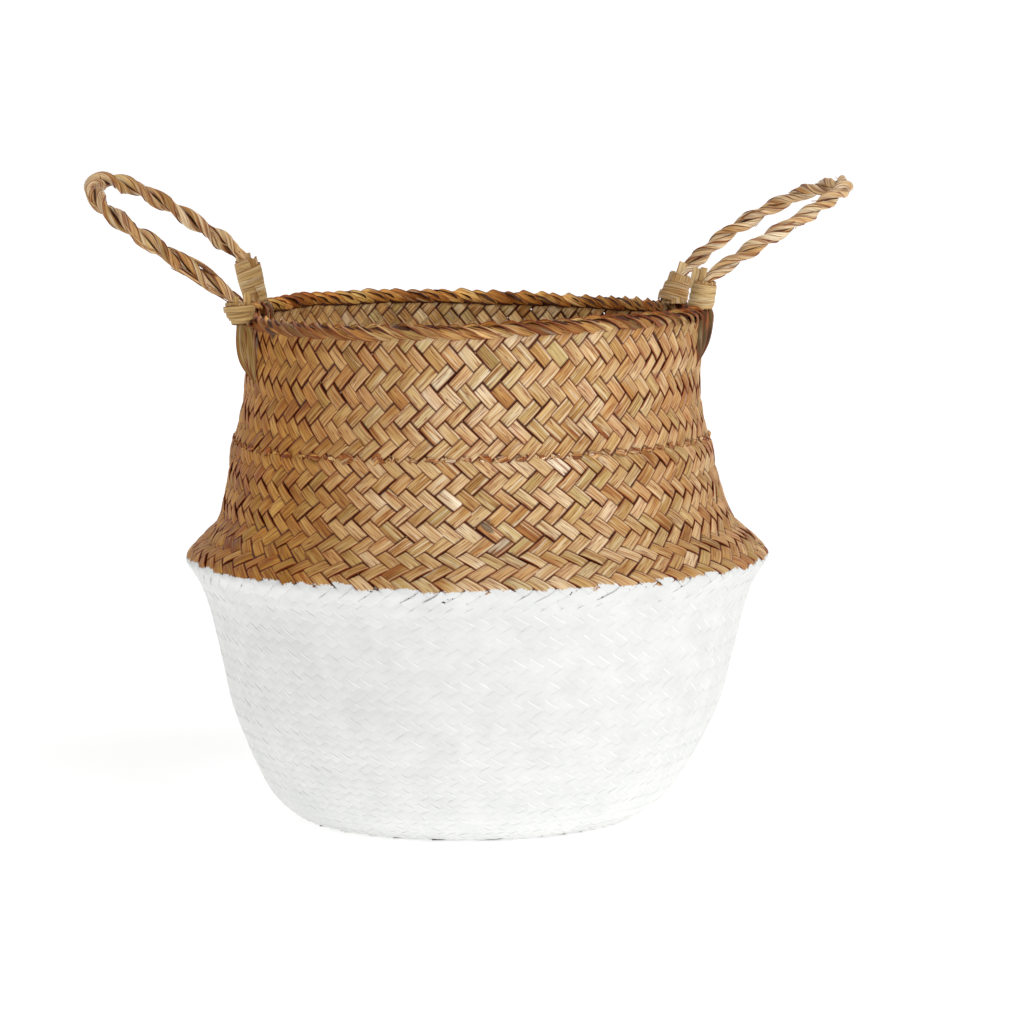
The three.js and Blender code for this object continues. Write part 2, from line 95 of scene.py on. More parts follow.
def unit(vectors):
    return vectors / np.linalg.norm(vectors, axis=-1, keepdims=True)


def tangentsOf(points, axis=0):
    return unit(np.gradient(points, axis=axis))


# The normals turned until they stand square to the tangents
def squareTo(normals, tangents):
    return unit(normals - (normals * tangents).sum(-1, keepdims=True) * tangents)


# How far along its path each point lies
def lengthAlong(points):
    return np.concatenate([[0], np.cumsum(np.linalg.norm(np.diff(points, axis=0), axis=1))])


def smoothPath(points, count, perSpan=24):
    points = np.asarray(points, float)
    ends = np.vstack([2 * points[0] - points[1], points, 2 * points[-1] - points[-2]])
    t = np.linspace(0, 1, perSpan, endpoint=False)[:, None]
    rows = []
    for i in range(1, len(ends) - 2):
        p0, p1, p2, p3 = ends[i - 1], ends[i], ends[i + 1], ends[i + 2]
        rows.append(0.5 * (2 * p1 + (p2 - p0) * t + (2 * p0 - 5 * p1 + 4 * p2 - p3) * t ** 2
                           + (3 * p1 - p0 - 3 * p2 + p3) * t ** 3))
    dense = np.vstack(rows + [points[-1:]])
    length = lengthAlong(dense)
    at = np.linspace(0, length[-1], count)
    return np.stack([np.interp(at, length, dense[:, k]) for k in range(dense.shape[1])], 1)


# The profile of the middle surface: radius, height and outward normal by length along it
outer = [(r * bellyRadius, z * bellyHeight) for r, z in bowlShares]
outer += [(r * bellyRadius, bellyHeight + z * (wallTop - bellyHeight)) for r, z in wallShares]
profile = smoothPath(outer, 900)
profileTangent = tangentsOf(profile)
profileNormal = np.stack([profileTangent[:, 1], -profileTangent[:, 0]], 1)
profile = profile - profileNormal * shellThickness / 2
profile[:, 1] = np.maximum(profile[:, 1], lowestMiddle)
profileLength = lengthAlong(profile)
ridgeLength = profileLength[np.argmax(profile[:, 0])]
fullLength = profileLength[-1]


def onProfile(s):
    r, z = (np.interp(s, profileLength, profile[:, k]) for k in (0, 1))
    nr, nz = (np.interp(s, profileLength, profileNormal[:, k]) for k in (0, 1))
    size = np.hypot(nr, nz)
    return r, z, nr / size, nz / size


def linearColour(code):
    channels = [int(code[i:i + 2], 16) / 255 for i in (1, 3, 5)]
    return [c / 12.92 if c <= 0.04045 else ((c + 0.055) / 1.055) ** 2.4 for c in channels] + [1]


# Adds a node with its settings, links or sets its inputs, and gives back one of its outputs
def addNode(tree, kind, inputs, output=0, stops=(), **settings):
    node = tree.nodes.new("ShaderNode" + kind)
    for name, value in settings.items():
        setattr(node, name, value)
    for name, value in inputs.items():
        if isinstance(value, bpy.types.NodeSocket):
            tree.links.new(value, node.inputs[name])
        else:
            node.inputs[name].default_value = linearColour(value) if isinstance(value, str) else value
    for _ in stops[2:]:
        node.color_ramp.elements.new(0.5)
    for number, (place, code) in enumerate(stops):
        node.color_ramp.elements[number].position = place
        node.color_ramp.elements[number].color = linearColour(code)
    return node.outputs[output]


def addMaths(tree, operation, a, b=0.5):
    return addNode(tree, "Math", {0: a, 1: b}, operation=operation)


# Takes the values from low to high to those from first to last
def addMapped(tree, value, low, high, first, last):
    return addNode(tree, "MapRange", {0: value, 1: low, 2: high, 3: first, 4: last})


def startMaterial(name, roughness):
    material = bpy.data.materials.new(name)
    material.use_nodes = True
    shader = material.node_tree.nodes["Principled BSDF"]
    shader.inputs["Roughness"].default_value = roughness
    return material, material.node_tree, shader


def finishMaterial(tree, shader, colour, relief, strength, distance):
    tree.links.new(colour, shader.inputs["Base Color"])
    shader.inputs["Specular IOR Level"].default_value = 0.3
    raised = addNode(tree, "Bump", {"Height": relief, "Strength": strength, "Distance": distance})
    tree.links.new(raised, shader.inputs["Normal"])


# Noise along and across a leaf: how often it comes in a metre each way, and its detail
leafNoises = {"broad": (60, 90, 1), "grain": (55, 1500, 4), "fold": (30, 760, 2), "streak": (40, 520, 2)}

# How far a leaf's pattern is moved for its tone, so that no two leaves are alike
toneShift = (0.73, 0.31, 19.7)

# Dark smears in the photo: place in millimetres, radius, colour and strength
stains = [((-108.7, -62.2, 272), 4.5, "#1c1009", 0.85), ((5.4, -137.7, 174.5), 4.0, "#3b342a", 0.7),
          ((-118, -40, 263), 6.0, "#2a1206", 0.6), ((97.4, -77.4, 245), 4.0, "#9a4a24", 0.6)]


# The colour and relief of a dried leaf: a tone for each float, fibres and creases, and painted shade
# on the edges, where a strip dives under and at the basket's two sides, and a painted highlight by one edge
def addSeagrass(tree, look):
    add, maths, mapped = (partial(adder, tree) for adder in (addNode, addMaths, addMapped))
    tone, side, depth, inward = (add("Attribute", {}, "Fac", attribute_name=name)
                                 for name in ("tone", "side", "depth", "inward"))
    if look["inside"]:
        depth = maths("SUBTRACT", 1.0, depth)
    moved = add("VectorMath", {0: toneShift, "Scale": tone}, operation="SCALE")
    moved = add("VectorMath", {0: add("UVMap", {}, uv_map="UVMap"), 1: moved}, operation="ADD")
    noise = {}
    for name, (along, across, detail) in leafNoises.items():
        stretched = add("VectorMath", {0: moved, 1: (along, across, 1)}, operation="MULTIPLY")
        noise[name] = add("TexNoise", {"Vector": stretched, "Scale": 1, "Detail": detail}, "Fac")
    drift = mapped(noise["broad"], 0.2, 0.8, -look["drift"], look["drift"])
    colour = add("ValToRGB", {0: maths("ADD", tone, drift)}, stops=look["stops"])
    chance = maths("FRACT", maths("MULTIPLY", tone, 53.0))
    # the fibres' valleys are red-brown, so blue falls fastest in them
    fibres = [mapped(noise["grain"], 0.3, 0.7, 1 - look["grain"] * share, 1 + look["grain"] * 0.5)
              for share in (0.55, 0.9, 1.2)]
    valley = maths("ABSOLUTE", maths("SUBTRACT", noise["fold"], 0.5))
    # distance from the painted highlight line, just inside one edge
    fromHighlightLine = maths("ABSOLUTE", maths("SUBTRACT", side, 0.72))
    place = add("TexCoord", {}, "Object")
    x = add("SeparateXYZ", {0: place})
    # the painted side shade falls on the left and, half as strong, on the right
    atSides = maths("MAXIMUM", mapped(x, -0.02, -0.1, 0, 1), mapped(x, 0.05, 0.12, 0, 0.5))
    # the coats that lie over the first colour: what each follows, where it starts and where it is full, how
    # much of it shows there, its colour, and how it is laid on
    coats = [
        (chance, 0.35, 0.0, look["hue"], "#bfae70", "MIX"),  # olive leaves
        (chance, 0.7, 1.0, look["hue"] * 0.5, "#cb8a48", "MIX"),  # amber leaves
        (1.0, 0, 1, 1, add("CombineColor", dict(enumerate(fibres))), "MULTIPLY"),
        (noise["streak"], 0.46, 0.3, look["bleach"], "#f6e6c6", "MIX"),  # bleached patches
        (noise["streak"], 0.56, 0.7, look["streak"], look["streakColour"], "MIX"),
        (valley, 0.036, 0.0, look["crease"], "#86340f", "MIX"),  # red-brown creases
        (fromHighlightLine, 0.1, 0.02, look["pale"], "#f3dfba", "MIX"),  # painted highlight: a pale line beside one edge, where light would catch it
        # painted shade at the basket's two sides, strongest on the left
        (atSides, 0, 1, look["browner"], "#d9b56a", "MULTIPLY"),
        (inward, 0, 1, 1, (1.75, 1.78, 1.5, 1), "MULTIPLY"),  # painted light: folds brightened on the mouth's side, which lies in shade
        # painted shade along both edges of a strip, in the gaps between neighbours
        (maths("ABSOLUTE", side), look["edgeFrom"], 0.97, look["edge"], "#82330d", "MIX"),
        (depth, 0.23, 0.44, 0.97, "#431604", "MIX"),  # painted shade where a strip dives under the others
    ]
    for spot, radius, code, strength in stains if look["stained"] else []:
        far = add("VectorMath", {0: place, 1: [v * mm for v in spot]}, "Value", operation="DISTANCE")
        ragged = mapped(noise["streak"], 0.3, 0.7, -radius * 0.5 * mm, radius * 0.5 * mm)
        coats.append((maths("ADD", far, ragged), radius * mm, radius * 0.6 * mm, strength, code, "MIX"))
    for value, starts, full, most, tint, blend in coats:
        amount = mapped(value, starts, full, 0, most)
        colour = add("Mix", {0: amount, 6: colour, 7: tint}, 2, data_type="RGBA", blend_type=blend)
    sunk = mapped(valley, 0.0, 0.036, 0.6, 0)
    return colour, maths("SUBTRACT", maths("MULTIPLY", noise["grain"], 0.5), sunk)


seagrassLook = {
    "stops": [(0, "#80521f"), (0.14, "#a67b3e"), (0.3, "#c29c5e"), (0.46, "#d3b27a"), (0.62, "#dfc190"),
              (0.8, "#edd7b0"), (1, "#faebd0")],
    "streakColour": "#ac5f2c", "streak": 0.55, "drift": 0.24, "grain": 0.45, "crease": 0.9, "pale": 0.55,
    "edge": 0.95, "edgeFrom": 0.8, "hue": 0.7, "bleach": 0.58, "browner": 1.0, "inside": False,
    "stained": False, "roughness": 0.55, "bump": 0.9, "bumpSize": 0.0005,
}


def seagrassMaterial(name, **changes):
    look = {**seagrassLook, **changes}
    material, tree, shader = startMaterial(name, look["roughness"])
    finishMaterial(tree, shader, *addSeagrass(tree, look), look["bump"], look["bumpSize"])
    return material


# Dried seagrass, flattened and plaited, seen from inside the basket, where overs and unders change places:
# straw to golden brown, with red-brown veins, and paler than outside: painted light for the shade inside
insideSeagrass = seagrassMaterial(
    "dried seagrass, natural, inside", inside=True, browner=0.2, hue=0.75, bleach=0.5, streak=0.4, stops=[
        (0, "#9a6428"), (0.2, "#c99a52"), (0.5, "#edc581"), (0.75, "#fbe0a6"), (1, "#fff0cc")])

# Dried seagrass of the folded border, a little browner where it was bent over wet
borderSeagrass = seagrassMaterial(
    "dried seagrass, folded border", stained=True, edge=0.9, edgeFrom=0.78, pale=0.0, bleach=0.3, hue=0.55,
    browner=0.45, stops=[
        (0, "#6c4017"), (0.2, "#8f6029"), (0.42, "#ad7d3f"), (0.68, "#c89a55"), (1, "#e2c087")])

# Twisted seagrass leaves of the handles
ropeSeagrass = seagrassMaterial(
    "dried seagrass, twisted", streak=0.7, streakColour="#96481a", edge=0.97, drift=0.3, grain=0.42,
    pale=0.0, bleach=0.75, browner=0.15, hue=0.65, roughness=0.48, stops=[
        (0, "#7a4a20"), (0.14, "#ad7f42"), (0.32, "#cda466"), (0.5, "#dfbd85"), (0.7, "#eed5a6"),
        (1, "#fbeccd")])

# Flat seagrass strip wound round each leg
bindingSeagrass = seagrassMaterial(
    "dried seagrass, flat binding", streak=0.3, streakColour="#b0743a", crease=0.25, edge=0.85,
    edgeFrom=0.88, drift=0.16, grain=0.26, hue=0.45, browner=0.35, stops=[
        (0, "#a47f46"), (0.3, "#c4a063"), (0.6, "#d8b87e"), (1, "#eed9ac")])

# Broad olive-brown leaves that tie the legs to the wall
tailSeagrass = seagrassMaterial(
    "dried seagrass, olive brown", edge=0.97, edgeFrom=0.66, hue=0.2, browner=0.25, pale=0.1, bleach=0.3,
    stops=[(0, "#453313"), (0.25, "#735b2b"), (0.5, "#9f8446"), (0.75, "#c3a868"), (1, "#e2cf9a")])

# Shredded red-brown leaf ends where new strips were laid in
splicedSeagrass = seagrassMaterial(
    "dried seagrass, shredded ends", streak=0.4, streakColour="#6d2f10", edge=0.85, hue=0.3, bleach=0.4,
    stops=[(0, "#632b10"), (0.3, "#97521f"), (0.55, "#bd7c3c"), (0.78, "#dbae70"), (1, "#f6e6c8")])

# Noise in the paint: how often it comes in a metre, and its detail
paintNoises = {"wave": (190, 3), "bristle": (900, 2), "miss": (520, 2), "cloud": (60, 4), "run": (90, 2),
               "grain": (420, 4)}

# How far the two finest noises carry the paint line up and down, in millimetres
paintReach = {"wave": 1.7, "bristle": 1.0}


def paintedMaterial():
    material, tree, shader = startMaterial("white matt paint over seagrass", 0.6)
    add, maths, mapped = (partial(adder, tree) for adder in (addNode, addMaths, addMapped))
    bare, relief = addSeagrass(tree, {**seagrassLook, "stained": True})
    place = add("TexCoord", {}, "Object")
    line, depth, side, falling = (add("Attribute", {}, "Fac", attribute_name=name)
                                  for name in ("overPaint", "depth", "side", "falling"))
    noise = {name: add("TexNoise", {"Vector": place, "Scale": scale, "Detail": detail}, "Fac")
             for name, (scale, detail) in paintNoises.items()}
    # deep between the strips the brush missed many places near the line, and hardly any lower down
    missed = maths("ADD", noise["miss"], mapped(line, -13, -1, 0.0, 0.16))
    missed = maths("ADD", missed, maths("MULTIPLY", depth, 0.22))
    # overPaint is the height above the paint line in millimetres, and the noise makes the line ragged
    for name, reach in paintReach.items():
        line = maths("ADD", line, mapped(noise[name], 0, 1, -reach, reach))
    above = mapped(line, -0.25, 0.25, 0, 1)
    # a painted highlight along the raised edges of the falling strips
    ridge = mapped(maths("ABSOLUTE", maths("SUBTRACT", side, 0.8)), 0.05, 0.2, 0.75, 0)
    ridge = maths("MULTIPLY", maths("MULTIPLY", ridge, falling), mapped(noise["run"], 0.4, 0.6, 0, 1))
    whites = [(0.3, "#e6e7e6"), (0.5, "#ebecea"), (0.7, "#f0f0ee")]
    colour = add("ValToRGB", {0: noise["cloud"]}, stops=whites)
    coats = [
        (mapped(depth, 0.3, 0.85, 0, 0.22), "#cfd2d0"),  # painted shade, grey in the creases
        (ridge, "#ffffff"),
        # bare seagrass where the brush missed, drawn near black as painted shade deep between the strips
        (mapped(missed, 0.92, 0.95, 0, 1), "#3a1f0c"),
        (above, bare),
    ]
    for amount, tint in coats:
        colour = add("Mix", {0: amount, 6: colour, 7: tint}, 2, data_type="RGBA")
    relief = maths("MULTIPLY", relief, mapped(above, 0, 1, 0.4, 1))
    brushed = maths("MULTIPLY", noise["grain"], mapped(above, 0, 1, 1, 0.1))
    finishMaterial(tree, shader, colour, maths("ADD", relief, brushed), 0.6, 0.0004)
    return material


# White water-based paint brushed over the outside of the lower half, bare seagrass above its ragged edge
paintedSeagrass = paintedMaterial()


# A mesh of many strips at once: its grids run by strip, along and across, and its values become attributes
def gridMesh(name, grids, uvs, values, outwards):
    strips, along, across, _ = grids.shape
    index = np.arange(strips * along * across).reshape(strips, along, across)
    corners = [index[:, :-1, :-1], index[:, :-1, 1:], index[:, 1:, 1:], index[:, 1:, :-1]]
    quads = np.stack(corners, -1).reshape(-1, 4)
    middle = along // 2
    side = across // 2
    a = grids[:, middle, side] - grids[:, middle, max(side - 1, 0)]
    b = grids[:, middle, side] - grids[:, middle - 1, side]
    if (np.cross(a, b) * outwards).sum() < 0:
        quads = quads[:, ::-1]
    mesh = bpy.data.meshes.new(name)
    mesh.from_pydata((grids.reshape(-1, 3) * mm).tolist(), [], quads.tolist())
    layer = mesh.uv_layers.new(name="UVMap")
    used = np.empty(len(mesh.loops), np.int32)
    mesh.loops.foreach_get("vertex_index", used)
    layer.data.foreach_set("uv", uvs.reshape(-1, 2)[used].astype(np.float32).ravel())
    for key, value in values.items():
        spread = np.broadcast_to(value, grids.shape[:3]).astype(np.float32)
        mesh.attributes.new(key, "FLOAT", "POINT").data.foreach_set("value", spread.ravel())
    obj = bpy.data.objects.new(name, mesh)
    bpy.context.scene.collection.objects.link(obj)
    return obj


def thicken(obj, materials, thickness, offset=0.0):
    for material in materials:
        obj.data.materials.append(material)
    bpy.ops.object.select_all(action="DESELECT")
    obj.select_set(True)
    bpy.context.view_layer.objects.active = obj
    bpy.ops.object.modifier_add(type="SOLIDIFY")
    solid = obj.modifiers[-1]
    solid.thickness = thickness * mm
    solid.offset = offset
    solid.material_offset = len(materials) - 1
    bpy.ops.object.modifier_apply(modifier=solid.name)
    bpy.ops.object.shade_smooth_by_angle(angle=math.radians(42))
    return obj


def twill(q, sharpness=2.6):
    return np.tanh(sharpness * np.sin(np.pi * (q + 0.5) / 2)) / math.tanh(sharpness)


# What the strips of the round plait share: how fast they sway, soften and ripple from level to level and by
# how much, how their floats (the runs between two dips) differ in width and lift, how low a strip may lie,
# the spread of tones by strip and by float, and the spread of the paint line in millimetres
weave = {
    "samples": 2500, "floats": 64, "swayRate": 0.4, "softRate": 0.7, "rippleRate": 1.7, "soft": 0.03,
    "ripple": 0.1, "narrower": (-2, 1.5), "floatWidth": 0.03, "floatLift": 0.14, "camberLow": 0.35,
    "camberHigh": 0.65, "lowest": 0.45, "tone": 0.52, "stripTone": 0.09, "floatTone": 0.14,
    "tones": (0.04, 0.98), "paintSpread": 0.5,
}


# The plait: a 2/2 twill on the bias. Each strip climbs half a column a level, goes over two crossings and
# under two, and both families change over at the same levels, which gives the level herringbone rows.
def plaitFamily(spec, side):
    count, perLevel, across = spec["count"], spec["perLevel"], spec["across"]
    lengths = np.linspace(spec["from"], spec["to"], weave["samples"])
    turn = 2 * math.pi / count
    pitch = onProfile(lengths)[0] * turn
    levelHeight = np.interp(lengths, *zip(*spec["levelHeights"]))
    levels = np.concatenate([[0], np.cumsum(np.diff(lengths) / levelHeight[:-1])])
    levels += spec["anchor"][1] - np.interp(spec["anchor"][0], lengths, levels)
    steps = int((levels[-1] - levels[0]) * perLevel) + 1
    v = np.linspace(levels[0], levels[-1], steps)[None, :, None]
    strip = np.arange(count)[:, None, None]
    u = np.linspace(-1, 1, across)[None, None, :]

    def wave(rate):
        return np.sin(v * rate + rng.uniform(0, 6, (count, 1, 1)))

    s = np.interp(v, levels, lengths)
    p = np.interp(s, lengths, pitch)
    h = np.interp(s, lengths, levelHeight)
    norm = np.hypot(p / 2, h)
    wander = rng.normal(0, spec["wander"], (count, 1, 1)) + spec["wander"] * wave(weave["swayRate"])
    theta = (strip + wander + side * v / 2) * turn
    # each float has its own tone, width, lift and tilt, and changes over where the strip is hidden
    hidden = 2.5 if side > 0 else 0.5
    floats = np.floor((side * (theta / turn - strip) + v / 2 - hidden) / 4).astype(int) % weave["floats"]
    tones, widths, lifts, tilts = (
        rng.normal(0, 1, (count, weave["floats"]))[strip, floats] for _ in range(4))
    soft = weave["soft"] * wave(weave["softRate"])
    narrower = rng.uniform(*weave["narrower"], (count, 1, 1)) * spec["wander"]
    breadth = spec["width"] * (1 + narrower + soft + weave["floatWidth"] * widths)
    shift = u * breadth * p * h / norm / 2
    r = onProfile(s)[0]
    theta = theta + shift * h / (norm * r)
    level = v - side * shift * (p / 2) / (norm * h)
    s2 = np.clip(np.interp(level, levels, lengths), 0, fullLength)
    r2, z2, nr, nz = onProfile(s2)
    over = side * twill(side * (theta / turn - strip) + level / 2)
    rise = np.interp(s2, *zip(*spec["lifts"]))
    raised = np.clip(over, 0, 1)
    camber = spec["camber"] * (1 - u ** 2) * (weave["camberLow"] + weave["camberHigh"] * raised)
    out = over * rise * (1 + weave["floatLift"] * lifts) + camber
    out = out + spec["tilt"] * tilts * u * raised + weave["ripple"] * rise * wave(weave["rippleRate"])
    tuck = np.clip(v - levels[0], 0, 1) if spec["tuckStart"] else 1
    tuckEnd = np.clip(levels[-1] - v, 0, 1) if spec["tuckEnd"] else 1
    out = out - (1 - tuck * tuckEnd) * spec["tuckDepth"]
    radius = r2 + nr * out
    points = stacked(radius * np.cos(theta), radius * np.sin(theta), z2 + nz * out)
    points[..., 2] = np.maximum(points[..., 2], weave["lowest"])
    stepLength = np.hypot(np.diff(s[0, :, 0]), (p / 2 / h)[0, 1:, 0] * np.diff(s[0, :, 0]))
    along = np.concatenate([[0], np.cumsum(stepLength)])[None, :, None]
    tone = weave["tone"] + weave["stripTone"] * rng.normal(0, 1, (count, 1, 1)) + weave["floatTone"] * tones
    values = {
        "tone": np.clip(tone, *weave["tones"]), "side": u, "depth": 1 - (over + 1) / 2,
        "overPaint": z2 - spec["paintLine"] - rng.normal(0, weave["paintSpread"], (count, 1, 1)),
        "falling": (1 - side) / 2,
    }
    middle = points[:, steps // 2, across // 2]
    return handShape(points), stacked(along * mm, shift * mm), values, middle * [1, 1, 0]


def plait(spec):
    made = []
    # in two halves, so that no piece has too many faces
    halves = {"a": slice(0, spec["count"] // 2), "b": slice(spec["count"] // 2, None)}
    for way, side in (("rising", 1), ("falling", -1)):
        grids, uvs, values, outwards = plaitFamily(spec, side)
        for half, strips in halves.items():
            some = {key: np.broadcast_to(value, grids.shape[:3])[strips] for key, value in values.items()}
            name = f"{spec['name']}_{way}_{half}"
            obj = gridMesh(name, grids[strips], uvs[strips], some, outwards[strips])
            thicken(obj, [paintedSeagrass, insideSeagrass], spec["thickness"])
            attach(obj, "basket")
            made.append(obj)
    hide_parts(spec["node"])
    faces = sum(len(obj.data.polygons) for obj in made)
    print(f"plait {spec['name']}: {len(made)} pieces, {faces} faces")


# The height to which the brush went on average, just over the ridge
paintLine = bellyHeight + 1.0

# New strips were laid in at one level of the wall, where a rising row ends
spliceHeight = 208.6
wallLengths = np.linspace(ridgeLength, fullLength, 600)
spliceLength = np.interp(spliceHeight, onProfile(wallLengths)[1], wallLengths)

# The upper wall, natural outside and in, down to just under the ridge
upperWall = {
    "name": "wall_plait", "node": "upper_wall", "slot": "natural_seagrass", "count": 84, "perLevel": 4,
    "across": 7, "from": ridgeLength - 13, "to": fullLength - 0.5, "width": 1.0, "wander": 0.04,
    "camber": 0.36, "tilt": 0.34, "thickness": 0.6, "anchor": (spliceLength, 3.5),
    "levelHeights": [(ridgeLength - 13, 4.0), (ridgeLength + 20, 4.15), (spliceLength - 1, 4.3),
                     (spliceLength + 1, 4.5), (fullLength - 1.5, 5.4)],
    "lifts": [(ridgeLength - 5, 0.22), (ridgeLength + 3, 0.72), (fullLength, 0.72)],
    "tuckStart": True, "tuckEnd": False, "tuckDepth": 1.2, "paintLine": paintLine,
}
plait(upperWall)

# The painted bowl, plaited finer and filled with paint outside, natural inside
paintedBowl = {
    "name": "bowl_plait", "node": "painted_bowl", "slot": "painted_seagrass", "count": 98, "perLevel": 3,
    "across": 4, "from": 0.0, "to": ridgeLength - 7, "width": 1.06, "wander": 0.012, "camber": 0.16,
    "tilt": 0.05, "thickness": 0.5, "anchor": (0, 0),
    "levelHeights": [(0, 2.05), (ridgeLength * 0.5, 2.75), (ridgeLength, 3.3)],
    "lifts": [(0, 0.34), (ridgeLength * 0.3, 0.3), (ridgeLength, 0.32)],
    "tuckStart": False, "tuckEnd": True, "tuckDepth": 0.9, "paintLine": paintLine,
}
plait(paintedBowl)


# The floor: a flat square plait of straight strips, cut round
floorPlait = {"pitch": 7.0, "radius": 93.0, "middle": 1.75, "lift": 0.42, "camber": 0.15, "thickness": 0.6,
              "perCrossing": 4, "across": 4, "halfWidth": 0.48, "shortest": 2, "sharpness": 1.8,
              "tones": (0.15, 0.8), "overPaint": -60.0}


def makeFloor(spec):
    pitch, radius = spec["pitch"], spec["radius"]
    half = int(radius // pitch)
    steps = int(2 * radius / pitch * spec["perCrossing"])
    strip = np.arange(-half, half + 1)[:, None, None]
    reach = np.sqrt(np.maximum(radius ** 2 - (np.abs(strip) * pitch) ** 2, spec["shortest"] ** 2))
    t = np.linspace(-1, 1, steps)[None, :, None] * reach
    u = np.linspace(-1, 1, spec["across"])[None, None, :]
    beside = strip * pitch + u * pitch * spec["halfWidth"]
    for name, side in (("across", 1), ("through", -1)):
        crossing = t / pitch - strip - (0 if side > 0 else 1)
        over = twill(crossing, spec["sharpness"]) + 0 * u
        z = spec["middle"] + over * spec["lift"] + spec["camber"] * (1 - u ** 2) * over
        points = stacked(t, beside, z) if side > 0 else stacked(beside, t, z)
        uvs = stacked(t * mm, u * pitch * spec["halfWidth"] * mm)
        values = {"tone": rng.uniform(*spec["tones"], strip.shape), "side": u, "depth": (over + 1) / 2,
                  "overPaint": spec["overPaint"]}
        outwards = np.tile(-skyward, (len(strip), 1))
        obj = gridMesh(f"floor_strips_{name}", handShape(points), uvs, values, outwards)
        thicken(obj, [paintedSeagrass, insideSeagrass], spec["thickness"])
        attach(obj, "basket")
    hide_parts("floor_plait")


makeFloor(floorPlait)


# The border: each strip is folded over the mouth, slanting, and tucked in on the inside. The spread is how
# much the folds differ in radius, height, place and width. A fold is pointed at both ends, where it is
# tucked in, and shingled, with one edge on its neighbour.
border = {
    "count": 84, "width": 6.4, "thickness": 0.5, "along": 30, "across": 7,
    "spread": (0.25, 0.35, 0.09, 0.07), "pointed": 0.2, "tipWidth": 0.12, "pointPower": 0.6, "shingle": 0.8,
    "camber": 0.2, "tones": (0.08, 0.95), "turnsInward": (0.45, 0.65), "coveredFrom": -0.12,
    "coveredRate": 1.3, "coveredLess": 0.3,
    # station: radial offset from the wall's middle, height over the border's foot, share of a column round
    "route": [(0.9, 1.7, 1.5), (1.7, 2.8, 1.15), (2.3, 3.9, 0.8), (2.5, 5.1, 0.45), (2.0, 6.2, 0.1),
              (0.8, 7.0, -0.3), (-0.8, 7.1, -0.75), (-1.7, 6.1, -1.15), (-2.1, 4.8, -1.55),
              (-2.3, 3.4, -1.95), (-2.1, 2.0, -2.35)],
    # the ends of all the strips lie rolled up under the folds: offset and height of their outline
    "core": [(0.2, 0.5), (0.9, 3.0), (0.8, 5.2), (-0.4, 5.6), (-0.8, 4.0), (-0.7, 1.5), (-0.3, 0)],
    "coreThickness": 0.3, "coreSide": 4,
}


def makeBorder(spec):
    count, along = spec["count"], spec["along"]
    route = smoothPath(spec["route"], along)
    fold = np.arange(count)[:, None]
    # six draws a fold, of which the first four are used
    jitter = rng.normal(0, 1, (count, 6))[:, :4] * spec["spread"]
    radius = rimMiddle + route[:, 0] + jitter[:, :1]
    height = wallTop + route[:, 1] + jitter[:, 1:2]
    angle = (fold + route[:, 2] + jitter[:, 2:3]) * (2 * math.pi / count)
    centre = stacked(radius * np.cos(angle), radius * np.sin(angle), height)
    tangents = tangentsOf(centre, 1)
    section = tangentsOf(route[:, :2])
    normals = stacked(section[:, 1] * np.cos(angle), section[:, 1] * np.sin(angle), -section[:, 0])
    normals = squareTo(normals, tangents)
    sideways = np.cross(normals, tangents)
    u = np.linspace(-1, 1, spec["across"])
    share = np.linspace(0, 1, along)
    taper = np.clip(np.minimum(share, 1 - share) / spec["pointed"] + spec["tipWidth"], 0, 1)
    breadth = spec["width"] / 2 * taper ** spec["pointPower"] * (1 + jitter[:, 3:])
    beside = breadth[..., None] * u
    lift = spec["shingle"] * u + spec["camber"] * (1 - u ** 2)
    points = centre[:, :, None] + sideways[:, :, None] * beside[..., None]
    points = points + normals[:, :, None] * lift[:, None]
    uvs = stacked(lengthAlong(centre[0])[:, None] * mm, beside * mm)
    # painted shade where the next fold lies over this one
    inward = smoothstep(share, *spec["turnsInward"])[:, None]
    covered = spec["coveredFrom"] - spec["coveredRate"] * u - spec["coveredLess"] * inward
    values = {"tone": rng.uniform(*spec["tones"], (count, 1, 1)), "side": u, "inward": inward,
              "depth": np.clip(covered, 0, 1)}
    obj = gridMesh("border_folds", handShape(points), uvs, values, normals[:, along // 2])
    thicken(obj, [borderSeagrass], spec["thickness"], offset=-1)
    around = np.linspace(0, 2 * np.pi, 3 * count + 1)[None, :, None]
    outline = np.array(spec["core"] + spec["core"][:1])
    ring = rimMiddle + outline[:, 0]
    grid = stacked(ring * np.cos(around), ring * np.sin(around), wallTop + outline[:, 1])
    coreUvs = stacked(around * rimMiddle * mm, np.arange(len(outline)) * spec["coreSide"] * mm)
    # painted shade: a depth of 0.45 draws the core dark all over, as in the shade under the folds
    coreValues = {"tone": 0.1, "side": 0.0, "depth": 0.45}
    core = gridMesh("border_core", handShape(grid), coreUvs, coreValues, np.ones((1, 3)))
    thicken(core, [borderSeagrass], spec["coreThickness"])
    for part in (obj, core):
        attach(part, "basket")
    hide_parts("rim_border")
    print(f"border: {count} folds, {len(obj.data.polygons)} faces")


makeBorder(border)


def ribbon(centre, normals, breadth, camber, across, curl=0.0):
    tangents = tangentsOf(centre)
    normals = squareTo(normals, tangents)
    sideways = np.cross(normals, tangents)
    u = np.linspace(-1, 1, across)
    beside = np.broadcast_to(breadth, len(centre))[:, None] * u / 2
    points = centre[:, None] + sideways[:, None] * beside[..., None]
    points = points + normals[:, None] * (camber * (1 - u ** 2) + curl * u)[:, None]
    return points, stacked(lengthAlong(centre)[:, None] * mm, beside * mm), normals


